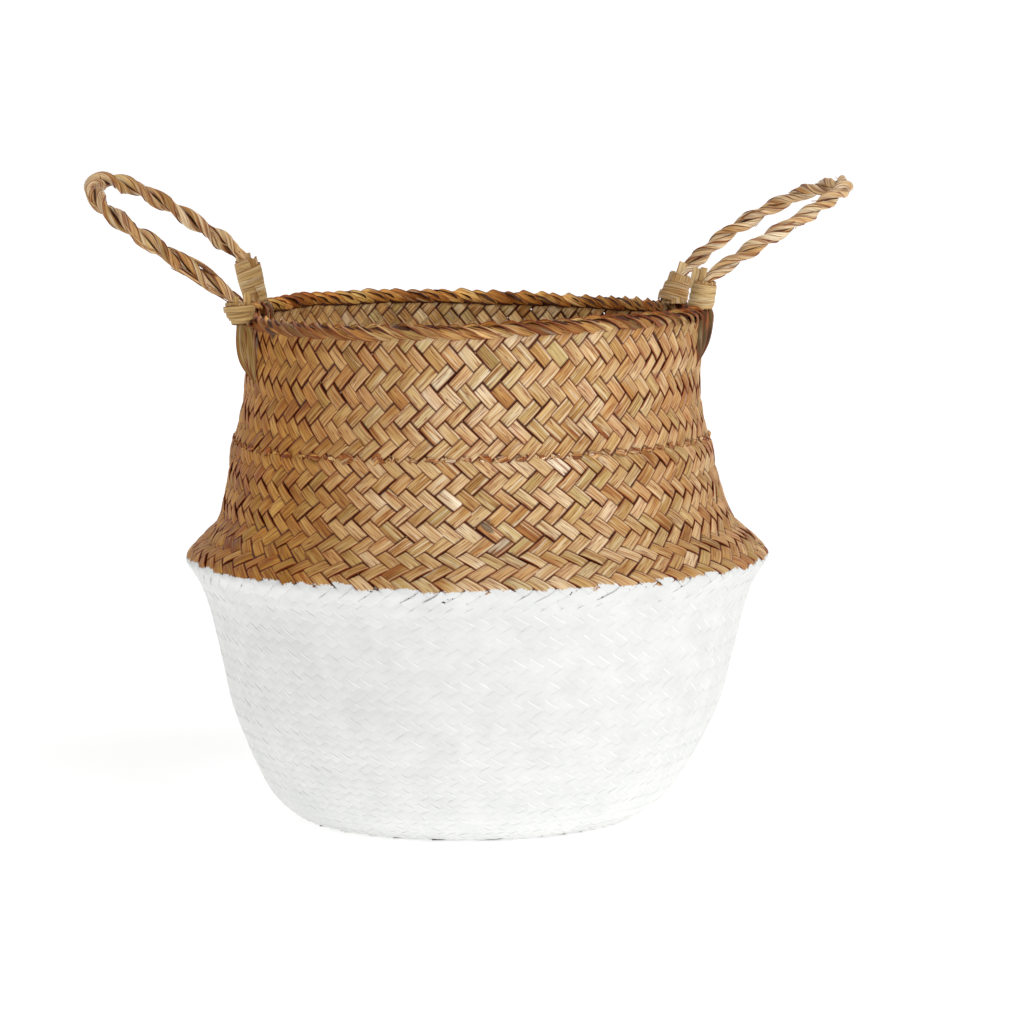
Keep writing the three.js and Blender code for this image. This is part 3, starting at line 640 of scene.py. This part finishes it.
def ribbonPiece(name, ribbons, material, thickness, tones, edges=1.0, depths=0.0):
    grids, uvs = (np.stack([r[k] for r in ribbons]) for k in (0, 1))
    outwards = np.stack([r[2][len(r[2]) // 2] for r in ribbons])
    side = np.linspace(-1, 1, grids.shape[2])[None, None, :] * np.reshape(edges, (-1, 1, 1))
    values = {"tone": rng.uniform(*tones, (len(ribbons), 1, 1)), "side": side, "depth": depths}
    return thicken(gridMesh(name, grids, uvs, values, outwards), [material], thickness)


# The splice row: the old strips' ends curl out of the wall there, shredded and red-brown
spliceRow = {"count": 84, "place": 0.75, "placeSpread": 0.07, "drop": -0.7, "heavy": (0.3, 1.1), "steps": 7}
scrapLook = {"number": 3, "long": 6.4, "wide": 3.8, "camber": 0.35, "across": 5, "thickness": 0.22,
             "tones": (0.2, 1.0), "outline": np.array([0.5, 0.85, 1.0, 0.8, 1.0, 0.8, 0.4])}
fibreLook = {"number": 8, "reach": 3.0, "long": (1.8, 4.4), "taper": (1.3, 0.4), "camber": 0.15,
             "across": 3, "thickness": 0.22, "tones": (0.0, 1.0)}


def makeSplices(spec):
    scraps, fibres = [], []
    r, z, nr, nz = onProfile(spliceLength)
    steps = spec["steps"]
    t = np.linspace(0, 1, steps)[:, None]
    for column in range(spec["count"]):
        middle = (column + spec["place"] + rng.normal(0, spec["placeSpread"])) * 2 * math.pi / spec["count"]
        heavy = rng.uniform(*spec["heavy"])
        for number in range(scrapLook["number"] + fibreLook["number"]):
            thin = number >= scrapLook["number"]
            reach = rng.uniform(-fibreLook["reach"], fibreLook["reach"]) if thin else rng.normal(0, 1.0)
            angle = middle + reach / r
            outward = np.array([nr * math.cos(angle), nr * math.sin(angle), nz])
            around = np.array([-math.sin(angle), math.cos(angle), 0])
            heading = unit(around * rng.choice([-1, 1]) + skyward * rng.normal(0.1, 1.2 if thin else 0.3))
            length = rng.uniform(*fibreLook["long"]) if thin else scrapLook["long"] * rng.uniform(0.7, 1.15)
            height = z + spec["drop"] + rng.normal(0, 0.5)
            start = np.array([r * math.cos(angle), r * math.sin(angle), height])
            hump = rng.uniform(0.9, 1.4) + rng.uniform(0.4, 1.1) * heavy * np.sin(np.pi * t)
            path = start + outward * hump + heading * (length * heavy) * (t - 0.5)
            path = handShape(path + skyward * rng.normal(0, 0.5) * np.sin(np.pi * t + rng.uniform(0, 3)))
            if thin:
                wide = np.linspace(*fibreLook["taper"], steps) * rng.uniform(0.5, 1.2)
                fibres.append(ribbon(path, outward, wide, fibreLook["camber"], fibreLook["across"]))
            else:
                wide = scrapLook["wide"] * heavy * rng.uniform(0.7, 1.3) * scrapLook["outline"]
                normals = outward + skyward * (rng.normal(0, 0.5) + rng.normal(0, 0.6) * t)
                scraps.append(ribbon(path, normals, wide, scrapLook["camber"], scrapLook["across"],
                                     rng.normal(0, 0.3)))
    for name, ribbons, look in (("scraps", scraps, scrapLook), ("fibres", fibres, fibreLook)):
        obj = ribbonPiece(f"splice_{name}", ribbons, splicedSeagrass, look["thickness"], look["tones"])
        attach(obj, "basket")
    print(f"splices: {len(scraps)} scraps, {len(fibres)} fibres")


makeSplices(spliceRow)


# The four legs, placed as in the solids. Azimuth, lean and rise are degrees; stand, drop, wrap and neck are
# multiples of the millimetres in legUnits; a flared leg is narrow at the foot and wide at the top.
coreHalfWidth, coreHalfDepth = 4.7, 4.4
strandRadius, swingGap = 2.35, 0.35
stripThickness, seatGap = 1.1, 0.3
footRoom = 1.3
legUnits = {"stand": 8, "drop": 6.4, "wrap": 24, "neck": 3.3}
flareRange = (0.72, 1.36)
legKeys = ("azimuth", "lean", "rise", "turns", "stand", "drop", "wrap", "neck", "flare")
legSpecs = {
    "left_back": (165, 13.5, 38, 3, 0.32, 0, 0.8, 0.8, 0),
    "left_front": (199, 2, 36, 4, 1.22, 0.83, 0.38, 0.5, 1),
    "right_back": (24, 21, 42, 4, -0.36, 0, 0.41, 0.5, 0),
    "right_front": (-13, 10, 40, 6, 0.2, 0, 0.42, 0.45, 0),
}


def placeLeg(spec):
    azimuth, lean = math.radians(spec["azimuth"]), math.radians(spec["lean"])
    outward = np.array([math.cos(azimuth), math.sin(azimuth), 0])
    sideways = np.array([-math.sin(azimuth), math.cos(azimuth), 0])
    radius = rimMiddle + spec["stand"] * legUnits["stand"]
    footHeight = rimHeight + stripThickness + 2 * seatGap - spec["drop"] * legUnits["drop"]
    foot = handShape(outward * radius + [0, 0, footHeight])

    def towards(elevation):
        return outward * math.cos(math.radians(elevation)) + skyward * math.sin(math.radians(elevation))

    shaft, exitWay = towards(90 - spec["lean"]), towards(spec["rise"])
    neck = towards((90 - spec["lean"] + spec["rise"]) / 2)
    flare = 1 + spec["flare"] * (flareRange[0] - 1)
    start = seatGap + (coreHalfDepth * flare + footRoom) * math.sin(lean)
    wrap = spec["wrap"] * legUnits["wrap"]
    shoulder = foot + shaft * (start + wrap + seatGap)
    top = shoulder + neck * spec["neck"] * legUnits["neck"] + exitWay * spec["neck"] * legUnits["neck"]
    hinge = top + exitWay * (strandRadius + swingGap)
    return dict(spec, outward=outward, sideways=sideways, radius=radius, foot=foot, shaft=shaft,
                start=start, wrapLength=wrap, shoulder=shoulder, hinge=hinge,
                through=unit(np.cross(shaft, sideways)))


legs = {name: placeLeg(dict(zip(legKeys, spec))) for name, spec in legSpecs.items()}


def flareAt(leg, share):
    low, high = flareRange
    return 1 + leg["flare"] * (low + (high - low) * share - 1)


# The handles' far ends and how far they bow and twist; stations of their route: outward, along the hinge's
# half span, bow and twist
handleSpecs = {
    "left": {"out": -206.5, "height": 346.3, "bow": 2.0, "twist": 0.0},
    "right": {"out": 202.2, "height": 343.0, "bow": 3.5, "twist": 2.0},
}
routeShares = [
    (0, 1, 0, 0), (0.18, 1.01, 0.62, 0.6), (0.38, 1.01, 1, 1), (0.6, 0.97, 1, 1), (0.78, 0.83, 0.75, 0.9),
    (0.92, 0.55, 0.35, 0.7), (0.995, 0.16, 0, 0.3), (0.995, -0.16, 0, -0.3), (0.92, -0.55, 0.35, -0.7),
    (0.78, -0.83, 0.75, -0.9), (0.6, -0.97, 1, -1), (0.38, -1.01, 1, -1), (0.18, -1.01, 0.62, -0.6),
    (0, -1, 0, 0),
]


def handlePath(side):
    spec, back, front = handleSpecs[side], legs[f"{side}_back"], legs[f"{side}_front"]
    root = (back["hinge"] + front["hinge"]) / 2
    axis = unit(back["hinge"] - front["hinge"])
    reach = np.array([spec["out"], 0, spec["height"]]) - root
    reach[1] = -(reach[0] * axis[0] + reach[2] * axis[2]) / axis[1]
    halfSpan = (back["hinge"] - front["hinge"]) / 2
    bowWay = unit(skyward - skyward.dot(reach) / reach.dot(reach) * reach)
    knots = [root + reach * a + halfSpan * c + bowWay * (b * spec["bow"] + t * spec["twist"])
             for a, c, b, t in routeShares]
    return knots, axis, root, unit(reach)


# Directions across a path that turn with it and don't twist: one begins as given, the other is square to it
def carriedFrames(path, across):
    tangents = tangentsOf(path)
    frames = []
    for tangent in tangents:
        across = unit(across - across.dot(tangent) * tangent)
        frames.append(across)
    return tangents, np.array(frames), np.cross(tangents, frames)


# One leaf rolled round a ply: an arc about the ply's middle, tucked in at one edge and free at the other
def rolledLeaf(middle, outwards, radius, begin, span, inner, freeEdge, across):
    tangents = tangentsOf(middle)
    outwards = squareTo(outwards, tangents)
    sideways = np.cross(tangents, outwards)
    t = np.linspace(0, 1, across)[None, :]
    angle = begin[:, None] + span * t
    length = lengthAlong(middle)
    # three flat facets that wander slowly round the leaf
    facets = 1 + 0.09 * np.cos(3 * angle + 2 * np.sin(length / 11)[:, None])
    reach = (radius[:, None] * facets * (inner + freeEdge * t ** 1.7))[..., None]
    points = middle[:, None] + reach * (
        np.cos(angle)[..., None] * outwards[:, None] + np.sin(angle)[..., None] * sideways[:, None])
    uvs = stacked(length[:, None] * mm, radius.mean() * span * t * mm)
    # painted shade on the side towards the other ply
    shade = 0.62 * (0.5 - 0.5 * np.cos(angle)) ** 3
    return points, uvs, points[:, across // 2] - middle, shade


# Each handle: two plies laid together, which begin inside the bindings and bend at the legs. A ply is three
# leaves rolled round a core; single leaves fray out of it, and some hang loose before the left front leg.
ropes = {
    "left": {"pitch": 45.0, "tight": 2.35, "radius": 2.6, "frays": 18, "loose": 9},
    "right": {"pitch": 34.0, "tight": 2.0, "radius": 2.4, "frays": 14, "loose": 0},
}
plyLook = {"steps": 420, "leaves": 3, "span": 2.7, "across": 10, "lay": 110.0, "thickness": 0.3,
           "root": 0.35, "leafInner": 0.84, "leafEdge": 0.22, "coreInner": 0.8, "tones": (0.1, 0.9)}
frayLook = {"steps": 12, "between": (0.14, 0.86), "start": 0.98, "lift": (0.6, 2.0), "taper": (1.6, 0.4),
            "camber": 0.2, "across": 3, "thickness": 0.2, "tones": (0.0, 0.6)}
looseLook = {"from": (0.76, 0.84), "to": (0.92, 0.96), "down": np.array([-0.6, 0, -1.0]),
             "up": np.array([0.4, 0, 1.0]), "start": 3.2, "bulge": (0.4, 2.6), "wide": (2.0, 4.4),
             "camber": 0.3}


def makeHandle(side, spec):
    knots, axis, root, reachWay = handlePath(side)
    back, front = legs[f"{side}_back"], legs[f"{side}_front"]
    inside = [leg["foot"] + leg["shaft"] * (leg["start"] + leg["wrapLength"] * plyLook["root"])
              for leg in (back, front)]
    ropeLength = np.linalg.norm(np.diff(smoothPath(knots, 400), axis=0), axis=1).sum()
    turns = round(2 * ropeLength / spec["pitch"]) / 2
    full = [inside[0], back["shoulder"]] + knots + [front["shoulder"], inside[1]]
    path = smoothPath(full, plyLook["steps"])
    length = lengthAlong(path)
    tangents, across, up = carriedFrames(path, axis)
    first, last = (np.argmin(np.linalg.norm(path - knots[end], axis=1)) for end in (0, -1))
    drift = math.atan2(up[last].dot(axis), across[last].dot(axis))
    progress = np.clip((length - length[first]) / (length[last] - length[first]), 0, 1)
    angle = (2 * math.pi * turns + drift) * progress
    fray = frayLook["steps"]
    t = np.linspace(0, 1, fray)
    leaves, frays = [], []
    for ply in (0, 1):
        turn = angle + ply * math.pi
        outwards = np.cos(turn)[:, None] * across + np.sin(turn)[:, None] * up
        # a ply's slack and thickness vary by hand, in waves of a few millimetres
        slack = 0.22 * np.sin(length / 8.3 + 2 * ply) + 0.15 * np.sin(length / 3.9 + ply)
        middle = path + (spec["tight"] + slack)[:, None] * outwards
        size = 1 + 0.07 * np.sin(length / 13 + 4 * ply) + 0.04 * np.sin(length / 4.7 + ply)
        size = spec["radius"] * size
        for leaf in range(plyLook["leaves"]):
            begin = 2 * math.pi * (leaf / plyLook["leaves"] + length / plyLook["lay"])
            begin = begin + rng.uniform(-0.3, 0.3)
            begin = begin + 0.35 * np.sin(length / rng.uniform(9, 16) + rng.uniform(0, 6))
            leaves.append(rolledLeaf(middle, outwards, size, begin, plyLook["span"], plyLook["leafInner"],
                                     plyLook["leafEdge"], plyLook["across"]))
        leaves.append(rolledLeaf(middle, outwards, size, 0 * length, 2 * math.pi, plyLook["coreInner"], 0,
                                 plyLook["across"]))
        for _ in range(spec["frays"] // 2):
            at = int(rng.uniform(*frayLook["between"]) * len(path))
            run = at + np.arange(fray) * rng.choice([-1, 1]) * rng.integers(1, 4)
            run = np.clip(run, 0, len(path) - 1)
            beside = np.cross(tangents[at], outwards[at])
            way = unit(outwards[at] * rng.uniform(-0.6, 1) + beside * rng.normal(0, 1))
            away = size[run] * frayLook["start"] + rng.uniform(*frayLook["lift"]) * t ** 2
            wide = np.linspace(*frayLook["taper"], fray) * rng.uniform(0.5, 1)
            frays.append(ribbon(middle[run] + way * away[:, None], way, wide, frayLook["camber"],
                                frayLook["across"]))
    for number in range(spec["loose"]):
        start, end = rng.uniform(*looseLook["from"]), rng.uniform(*looseLook["to"])
        run = (np.linspace(start, end, fray) * (len(path) - 1)).astype(int)
        way = unit(looseLook["down" if number % 3 else "up"] + rng.normal(0, 0.4, 3))
        bulge = looseLook["start"] + rng.uniform(*looseLook["bulge"]) * np.sin(np.pi * t) ** 1.3
        normal = way + rng.normal(0, 0.5, 3)
        wide = rng.uniform(*looseLook["wide"]) * np.sin(np.pi * (0.12 + 0.8 * t))
        frays.append(ribbon(path[run] + way * bulge[:, None], normal, wide, looseLook["camber"],
                            frayLook["across"]))
    edges = ([1.0] * plyLook["leaves"] + [0.0]) * 2
    shades = np.stack([leaf[3] for leaf in leaves])
    made = [
        ribbonPiece(f"{side}_handle_leaves", leaves, ropeSeagrass, plyLook["thickness"], plyLook["tones"],
                    edges, shades),
        ribbonPiece(f"{side}_handle_frays", frays, ropeSeagrass, frayLook["thickness"], frayLook["tones"]),
    ]
    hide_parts(f"{side}_handle_strand_a", f"{side}_handle_strand_b")
    for obj in made:
        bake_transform(obj)
    print(f"{side} handle: {sum(len(obj.data.polygons) for obj in made)} faces, {turns} turns")


for handleSide in ("left", "right"):
    makeHandle(handleSide, ropes[handleSide])


# What shows at each leg: which way along the rim the photo's side lies, how far the wraps are puffed out
# and how much further at the top, whether the strips reach down into the border, how far the binding
# reaches down over it, how far the strips fan out below, how far the outer tails turn to the side, the
# tails' tones, each stub (along the rim, outward, width, height) and each outer tail (stand-off, sideways,
# width)
legLooks = {
    "left_back": {
        "near": 1, "puff": 2.1, "cone": 0.6, "foot": 1, "low": 3.0, "fan": 1.3, "turn": 0,
        "tones": (0.1, 0.7), "stubs": [(2.2, -1.5, 4.5, 4.5), (2.6, 3.2, 3.2, 6.5)],
        "tails": [(1.6, -3.1, 5.4), (1.6, 3.1, 5.4)]},
    "left_front": {
        "near": 1, "puff": 1.9, "cone": 2.0, "foot": 0, "low": 2.2, "fan": 1.0, "turn": 72,
        "tones": (0.35, 0.7), "stubs": [(5.2, -1.2, 4.0, 6.6), (3.8, 2.6, 3.0, 4.8)],
        "tails": [(8.3, 0.6, 5.6), (3.6, 1.9, 5.2)]},
    "right_back": {
        "near": -1, "puff": 2.3, "cone": -2.2, "foot": 1, "low": 4.5, "fan": 1.7, "turn": 0,
        "tones": (0.1, 0.7), "stubs": [(-2.6, -2.0, 6.6, 8.0)],
        "tails": [(1.6, -3.1, 5.4), (1.6, 3.1, 5.4)]},
    "right_front": {
        "near": -1, "puff": 2.0, "cone": -0.4, "foot": 1, "low": 3.0, "fan": 1.1, "turn": 66,
        "tones": (0.0, 0.4), "stubs": [(-2.2, -5.4, 4.4, 7.4), (-3.0, -1.2, 3.6, 8.4)],
        "tails": [(5.6, -0.8, 3.0), (3.3, -2.6, 3.4), (0.8, -4.2, 3.0)]},
}

# The binding: a flat strip wound round the leg, each turn lying partly on the one before
bindingLook = {"stepsPerTurn": 40, "overlap": 1.3, "begin": 0.6, "inset": 0.36, "camber": 0.26,
               "curl": 0.14, "across": 7, "thickness": 0.4, "tones": (0.35, 0.75)}


def makeBinding(name, leg, look):
    turns, steps = leg["turns"], bindingLook["stepsPerTurn"]
    foot, shaft, sideways, through = (leg[key] for key in ("foot", "shaft", "sideways", "through"))
    room = leg["wrapLength"] + look["low"]
    breadth = room / turns * bindingLook["overlap"]
    inset = breadth * bindingLook["inset"]
    i = np.arange(turns * steps + 1)
    share = i / (turns * steps)
    turn = 2 * np.pi * i / steps + bindingLook["begin"]
    along = leg["start"] - look["low"] + inset + (room - 2 * inset) * share
    size = flareAt(leg, share)
    slack = look["puff"] + look["cone"] * (share - 0.5)
    slack = slack + 0.14 * np.sin(turn * 0.5 + 1) + 0.1 * np.sin(3.1 * share * turns + 2)
    beside, outward = np.cos(turn), np.sin(turn)
    centre = foot + along[:, None] * shaft
    centre = centre + ((coreHalfWidth * size + slack) * beside)[:, None] * sideways
    centre = centre + ((coreHalfDepth * size + slack) * outward)[:, None] * through
    centre = centre + (0.3 * np.sin(turn * 1.3 + 0.7))[:, None] * shaft
    normals = beside[:, None] * sideways + outward[:, None] * through
    breadth = breadth * (1 + 0.12 * np.sin(turn * 0.37 + 2))
    strip = ribbon(centre, normals, breadth, *(bindingLook[key] for key in ("camber", "across", "curl")))
    thickness, tones = bindingLook["thickness"], bindingLook["tones"]
    made = ribbonPiece(f"{name}_wrap", [strip], bindingSeagrass, thickness, tones)
    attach(made, "basket")
    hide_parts(f"{name}_binding")


# The bundle: strips that come up out of the border, run through the binding and end in square cuts above
# it. A plug of leaf ends fills its middle, and a few stubs stand up out of it.
bundleLook = {"count": 16, "steps": 16, "across": 4, "shrink": 0.93, "under": 0.6, "sink": 2.4, "foot": 1.5,
              "short": 0.8, "tip": (0.2, 1.8), "overlap": 1.45, "camber": 0.3, "thickness": 0.5,
              "tones": (0.0, 0.8)}
plugLook = {"count": 7, "spread": 0.6, "reach": 4, "tip": (0, 1.2), "wide": 5.0, "camber": 0.5}
stubLook = {"root": 4, "bend": 0.3, "lean": 0.5, "out": (-0.6, 0.3), "turn": (-0.25, 0.25), "camber": 0.35,
            "thickness": 0.45, "tones": (0.4, 0.9)}


def makeBundle(name, leg, look):
    ribbons, stubs = [], []
    foot, shaft, sideways, outward, shoulder, through = (
        leg[key] for key in ("foot", "shaft", "sideways", "outward", "shoulder", "through"))
    if through.dot(outward) < 0:
        through = -through
    count, steps, across = bundleLook["count"], bundleLook["steps"], bundleLook["across"]
    bottom, top = flareAt(leg, 0), flareAt(leg, 1)
    onWidth, onDepth = (half * bundleLook["shrink"] + look["puff"] - bundleLook["under"]
                        for half in (coreHalfWidth, coreHalfDepth))
    for k in range(count):
        turn = 2 * math.pi * (k + 0.5) / count
        a, b = math.cos(turn), math.sin(turn)
        spread = 1 + (look["fan"] - 1) * abs(a) ** 0.5
        low = foot + sideways * a * onWidth * bottom * spread + outward * b * onDepth * bottom
        low = low - skyward * bundleLook["sink"]
        mid = foot + shaft * (leg["start"] + bundleLook["foot"])
        mid = mid + sideways * a * onWidth * bottom + through * b * onDepth * bottom
        if not look["foot"]:
            low = mid - shaft * bundleLook["short"]
        high = shoulder + sideways * a * onWidth * top + through * b * onDepth * top
        tip = high + shaft * rng.uniform(*bundleLook["tip"])
        path = smoothPath([low, mid, (mid + high) / 2, high, tip], steps)
        wide = 2 * math.pi * onWidth / count * bundleLook["overlap"]
        ribbons.append(ribbon(path, sideways * a + through * b, wide, bundleLook["camber"], across))
    for _ in range(plugLook["count"]):
        a, b = (rng.uniform(-plugLook["spread"], plugLook["spread"]) for _ in range(2))
        turn = rng.uniform(0, 6.28)
        low = foot + sideways * a * plugLook["reach"] + outward * b * plugLook["reach"]
        high = shoulder + sideways * a * plugLook["reach"] + through * b * plugLook["reach"]
        tip = high + shaft * rng.uniform(*plugLook["tip"])
        path = smoothPath([low, (low + high) / 2, tip], steps)
        normal = sideways * math.cos(turn) + through * math.sin(turn)
        ribbons.append(ribbon(path, normal, plugLook["wide"], plugLook["camber"], across))
    for beside, out, wide, height in look["stubs"]:
        near = sideways * look["near"]
        root = shoulder + sideways * beside * top + through * out * top - shaft * stubLook["root"]
        end = root + shaft * (height + stubLook["root"]) + near * stubLook["lean"]
        end = end + through * rng.uniform(*stubLook["out"])
        path = smoothPath([root, (root + end) / 2 + near * stubLook["bend"], end], steps)
        normal = near + through * rng.uniform(*stubLook["turn"])
        stubs.append(ribbon(path, normal, wide, stubLook["camber"], across))
    strips, cuts = (
        ribbonPiece(f"{name}_{kind}", made, bindingSeagrass, part["thickness"], part["tones"])
        for kind, made, part in (("strips", ribbons, bundleLook), ("stubs", stubs, stubLook)))
    for obj, slot in ((strips, "strand_seagrass"), (cuts, "binding_seagrass")):
        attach(obj, "basket")
    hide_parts(f"{name}_bundle")
    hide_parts(f"{name}_cut_ends")


# The tails: flat strips that leave the binding's foot and are tucked back into the wall, outside and in.
# Stations of the outer route give a share of the stand-off, those of the inner one a distance from the
# wall's middle; then follow the height from the binding's foot and the share of the way to the side.
tailLook = {"steps": 26, "across": 5, "curl": 0.2, "camber": 0.35, "thickness": 0.55, "outside": 1.4,
            "clear": 1.5, "lift": 0.85, "sunk": 0.6, "uneven": 0.8, "innerSide": 3.1, "innerWide": 5.6,
            "innerUneven": (0.9, 1.05)}
outerRoute = [(0.92, -10, 1), (0.7, -17, 1), (0.3, -24, 0.7)]
innerRoute = [(-4.6, -1.4, 0.9), (-5.6, -6, 1), (-5.0, -13, 1.15), (-2.4, -21, 1.3), (0.2, -30, 1.45)]


def makeTails(name, leg, look):
    outward, sideways, radius = (leg[key] for key in ("outward", "sideways", "radius"))
    foot = rimHeight + tailLook["lift"] - leg["drop"] * legUnits["drop"] - look["low"] * tailLook["sunk"]
    turned = math.radians(look["turn"])
    made = {"outer": [], "inner": []}
    t = np.linspace(0, 1, tailLook["steps"])

    def addTail(where, stations, wide, towards, twist):
        route = [outward * r + skyward * z + sideways * w for r, z, w in stations]
        path = smoothPath(handShape(route), tailLook["steps"])
        normal = outward * towards * math.cos(twist) + sideways * look["near"] * math.sin(twist)
        curl = rng.uniform(-tailLook["curl"], tailLook["curl"])
        made[where].append(ribbon(path, normal, wide, tailLook["camber"], tailLook["across"], curl))

    outside = rimMiddle + tailLook["outside"]
    for standOff, beside, wide in look["tails"]:
        far = outside + standOff
        if not look["turn"]:
            far = max(far, radius + tailLook["clear"])
        low = foot - rng.uniform(-tailLook["uneven"], tailLook["uneven"])
        stations = [(radius + (far - radius) * 0.5, low + 1.5, beside * 0.6), (far, low - 3, beside)]
        stations += [(outside + standOff * out, low + z, beside * share) for out, z, share in outerRoute]
        stations += [(outside - 1.2, low - 30, beside * 0.5)]
        narrowing = 0.5 * smoothstep(t, 0.55, 1) * (1 if look["turn"] else 0.2)
        addTail("outer", stations, wide * (0.8 + 0.3 * np.sin(math.pi * t) - narrowing), 1, turned)
    for way in (-1, 1):
        beside = way * tailLook["innerSide"] * look["fan"]
        stations = [(radius - 2.2, foot, way * 2.4)]
        stations += [(rimMiddle + out, foot + z, beside * share) for out, z, share in innerRoute]
        addTail("inner", stations, tailLook["innerWide"] * rng.uniform(*tailLook["innerUneven"]), -1, 0)
    for where, ribbons in made.items():
        thickness = tailLook["thickness"]
        obj = ribbonPiece(f"{name}_{where}_tails", ribbons, tailSeagrass, thickness, look["tones"])
        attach(obj, "basket")
        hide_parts(f"{name}_{where}_tail_a", f"{name}_{where}_tail_b")


for legName, legPlace in legs.items():
    makeBinding(legName, legPlace, legLooks[legName])
    makeBundle(legName, legPlace, legLooks[legName])
    makeTails(legName, legPlace, legLooks[legName])
print("legs: bindings, bundles and tails")


# Studio: a white floor that runs up into a white backdrop, soft light from all round and one broad lamp,
# in metres
studio = {"width": 9.0, "front": -4.0, "back": 3.0, "bend": 1.2, "height": 3.2, "glow": 0.37, "sky": 0.51,
          "lampPlace": (0.95, -1.15, 1.55), "lampSize": 1.4, "lampPower": 16.0, "lampAim": (0, 0, 0.15)}
sweep = [(studio["front"], 0.0), (studio["back"], 0.0)]
sweep += [(studio["back"] + studio["bend"] * math.sin(a), studio["bend"] * (1 - math.cos(a)))
          for a in np.linspace(0.1, math.pi / 2, 14)]
sweep += [(studio["back"] + studio["bend"], studio["height"])]
corners = [(x, y, z) for x in (-studio["width"] / 2, studio["width"] / 2) for y, z in sweep]
panels = [(i, i + len(sweep), i + len(sweep) + 1, i + 1) for i in range(len(sweep) - 1)]
sweepMesh = bpy.data.meshes.new("studio_sweep")
sweepMesh.from_pydata(corners, [], panels)
studioSweep = bpy.data.objects.new("studio_sweep", sweepMesh)
bpy.context.scene.collection.objects.link(studioSweep)

# White seamless paper, which glows a little so that it stays white in the picture
paper, _, paperShader = startMaterial("white seamless paper", 0.9)
paperShader.inputs["Base Color"].default_value = linearColour("#ffffff")
paperShader.inputs["Emission Color"].default_value = linearColour("#ffffff")
paperShader.inputs["Emission Strength"].default_value = studio["glow"]
studioSweep.data.materials.append(paper)

world = bpy.data.worlds.new("studio light")
bpy.context.scene.world = world
world.use_nodes = True
# the sky lights the basket softly, and is plain white where it is seen or mirrored
sky = world.node_tree.nodes["Background"]
sky.inputs["Color"].default_value = linearColour("#ffffff")
seen, mirrored, refracted = (addNode(world.node_tree, "LightPath", {}, f"Is {kind} Ray")
                             for kind in ("Camera", "Glossy", "Transmission"))
shown = addMaths(world.node_tree, "MAXIMUM", seen, mirrored)
shown = addMaths(world.node_tree, "MAXIMUM", shown, refracted)
strength = addMapped(world.node_tree, shown, 0, 1, studio["sky"], 1)
world.node_tree.links.new(strength, sky.inputs["Strength"])

bpy.ops.object.light_add(type="AREA", location=studio["lampPlace"])
lamp = bpy.context.active_object
lamp.data.size = studio["lampSize"]
lamp.data.energy = studio["lampPower"]
lamp.rotation_euler = (Vector(studio["lampAim"]) - lamp.location).to_track_quat("-Z", "Y").to_euler()
print("studio: backdrop, sky and lamp")

# The camera of the photo: a long lens a little above the mouth, looking slightly down
camera = {"distance": 2.4, "height": 0.4539, "pitch": 0.1194, "roll": -0.0064, "lens": 154.8,
          "shift": 35.3 / 1024}
cameraData = bpy.data.cameras.new("photo camera")
cameraData.lens = camera["lens"]
cameraData.sensor_width = 36
cameraData.shift_x = camera["shift"]
cameraData.clip_end = 30
cameraObject = bpy.data.objects.new("photo camera", cameraData)
bpy.context.scene.collection.objects.link(cameraObject)
forward = Vector((0, math.cos(camera["pitch"]), -math.sin(camera["pitch"])))
right = Vector((1, 0, 0))
upward = Vector((0, math.sin(camera["pitch"]), math.cos(camera["pitch"])))
rolledRight = right * math.cos(camera["roll"]) + upward * math.sin(camera["roll"])
rolledUp = upward * math.cos(camera["roll"]) - right * math.sin(camera["roll"])
cameraObject.matrix_world = Matrix((
    (rolledRight.x, rolledUp.x, -forward.x, 0),
    (rolledRight.y, rolledUp.y, -forward.y, -camera["distance"]),
    (rolledRight.z, rolledUp.z, -forward.z, camera["height"]),
    (0, 0, 0, 1),
))
bpy.context.scene.camera = cameraObject
bpy.context.scene.view_settings.view_transform = "Standard"

bpy.context.view_layer.update()
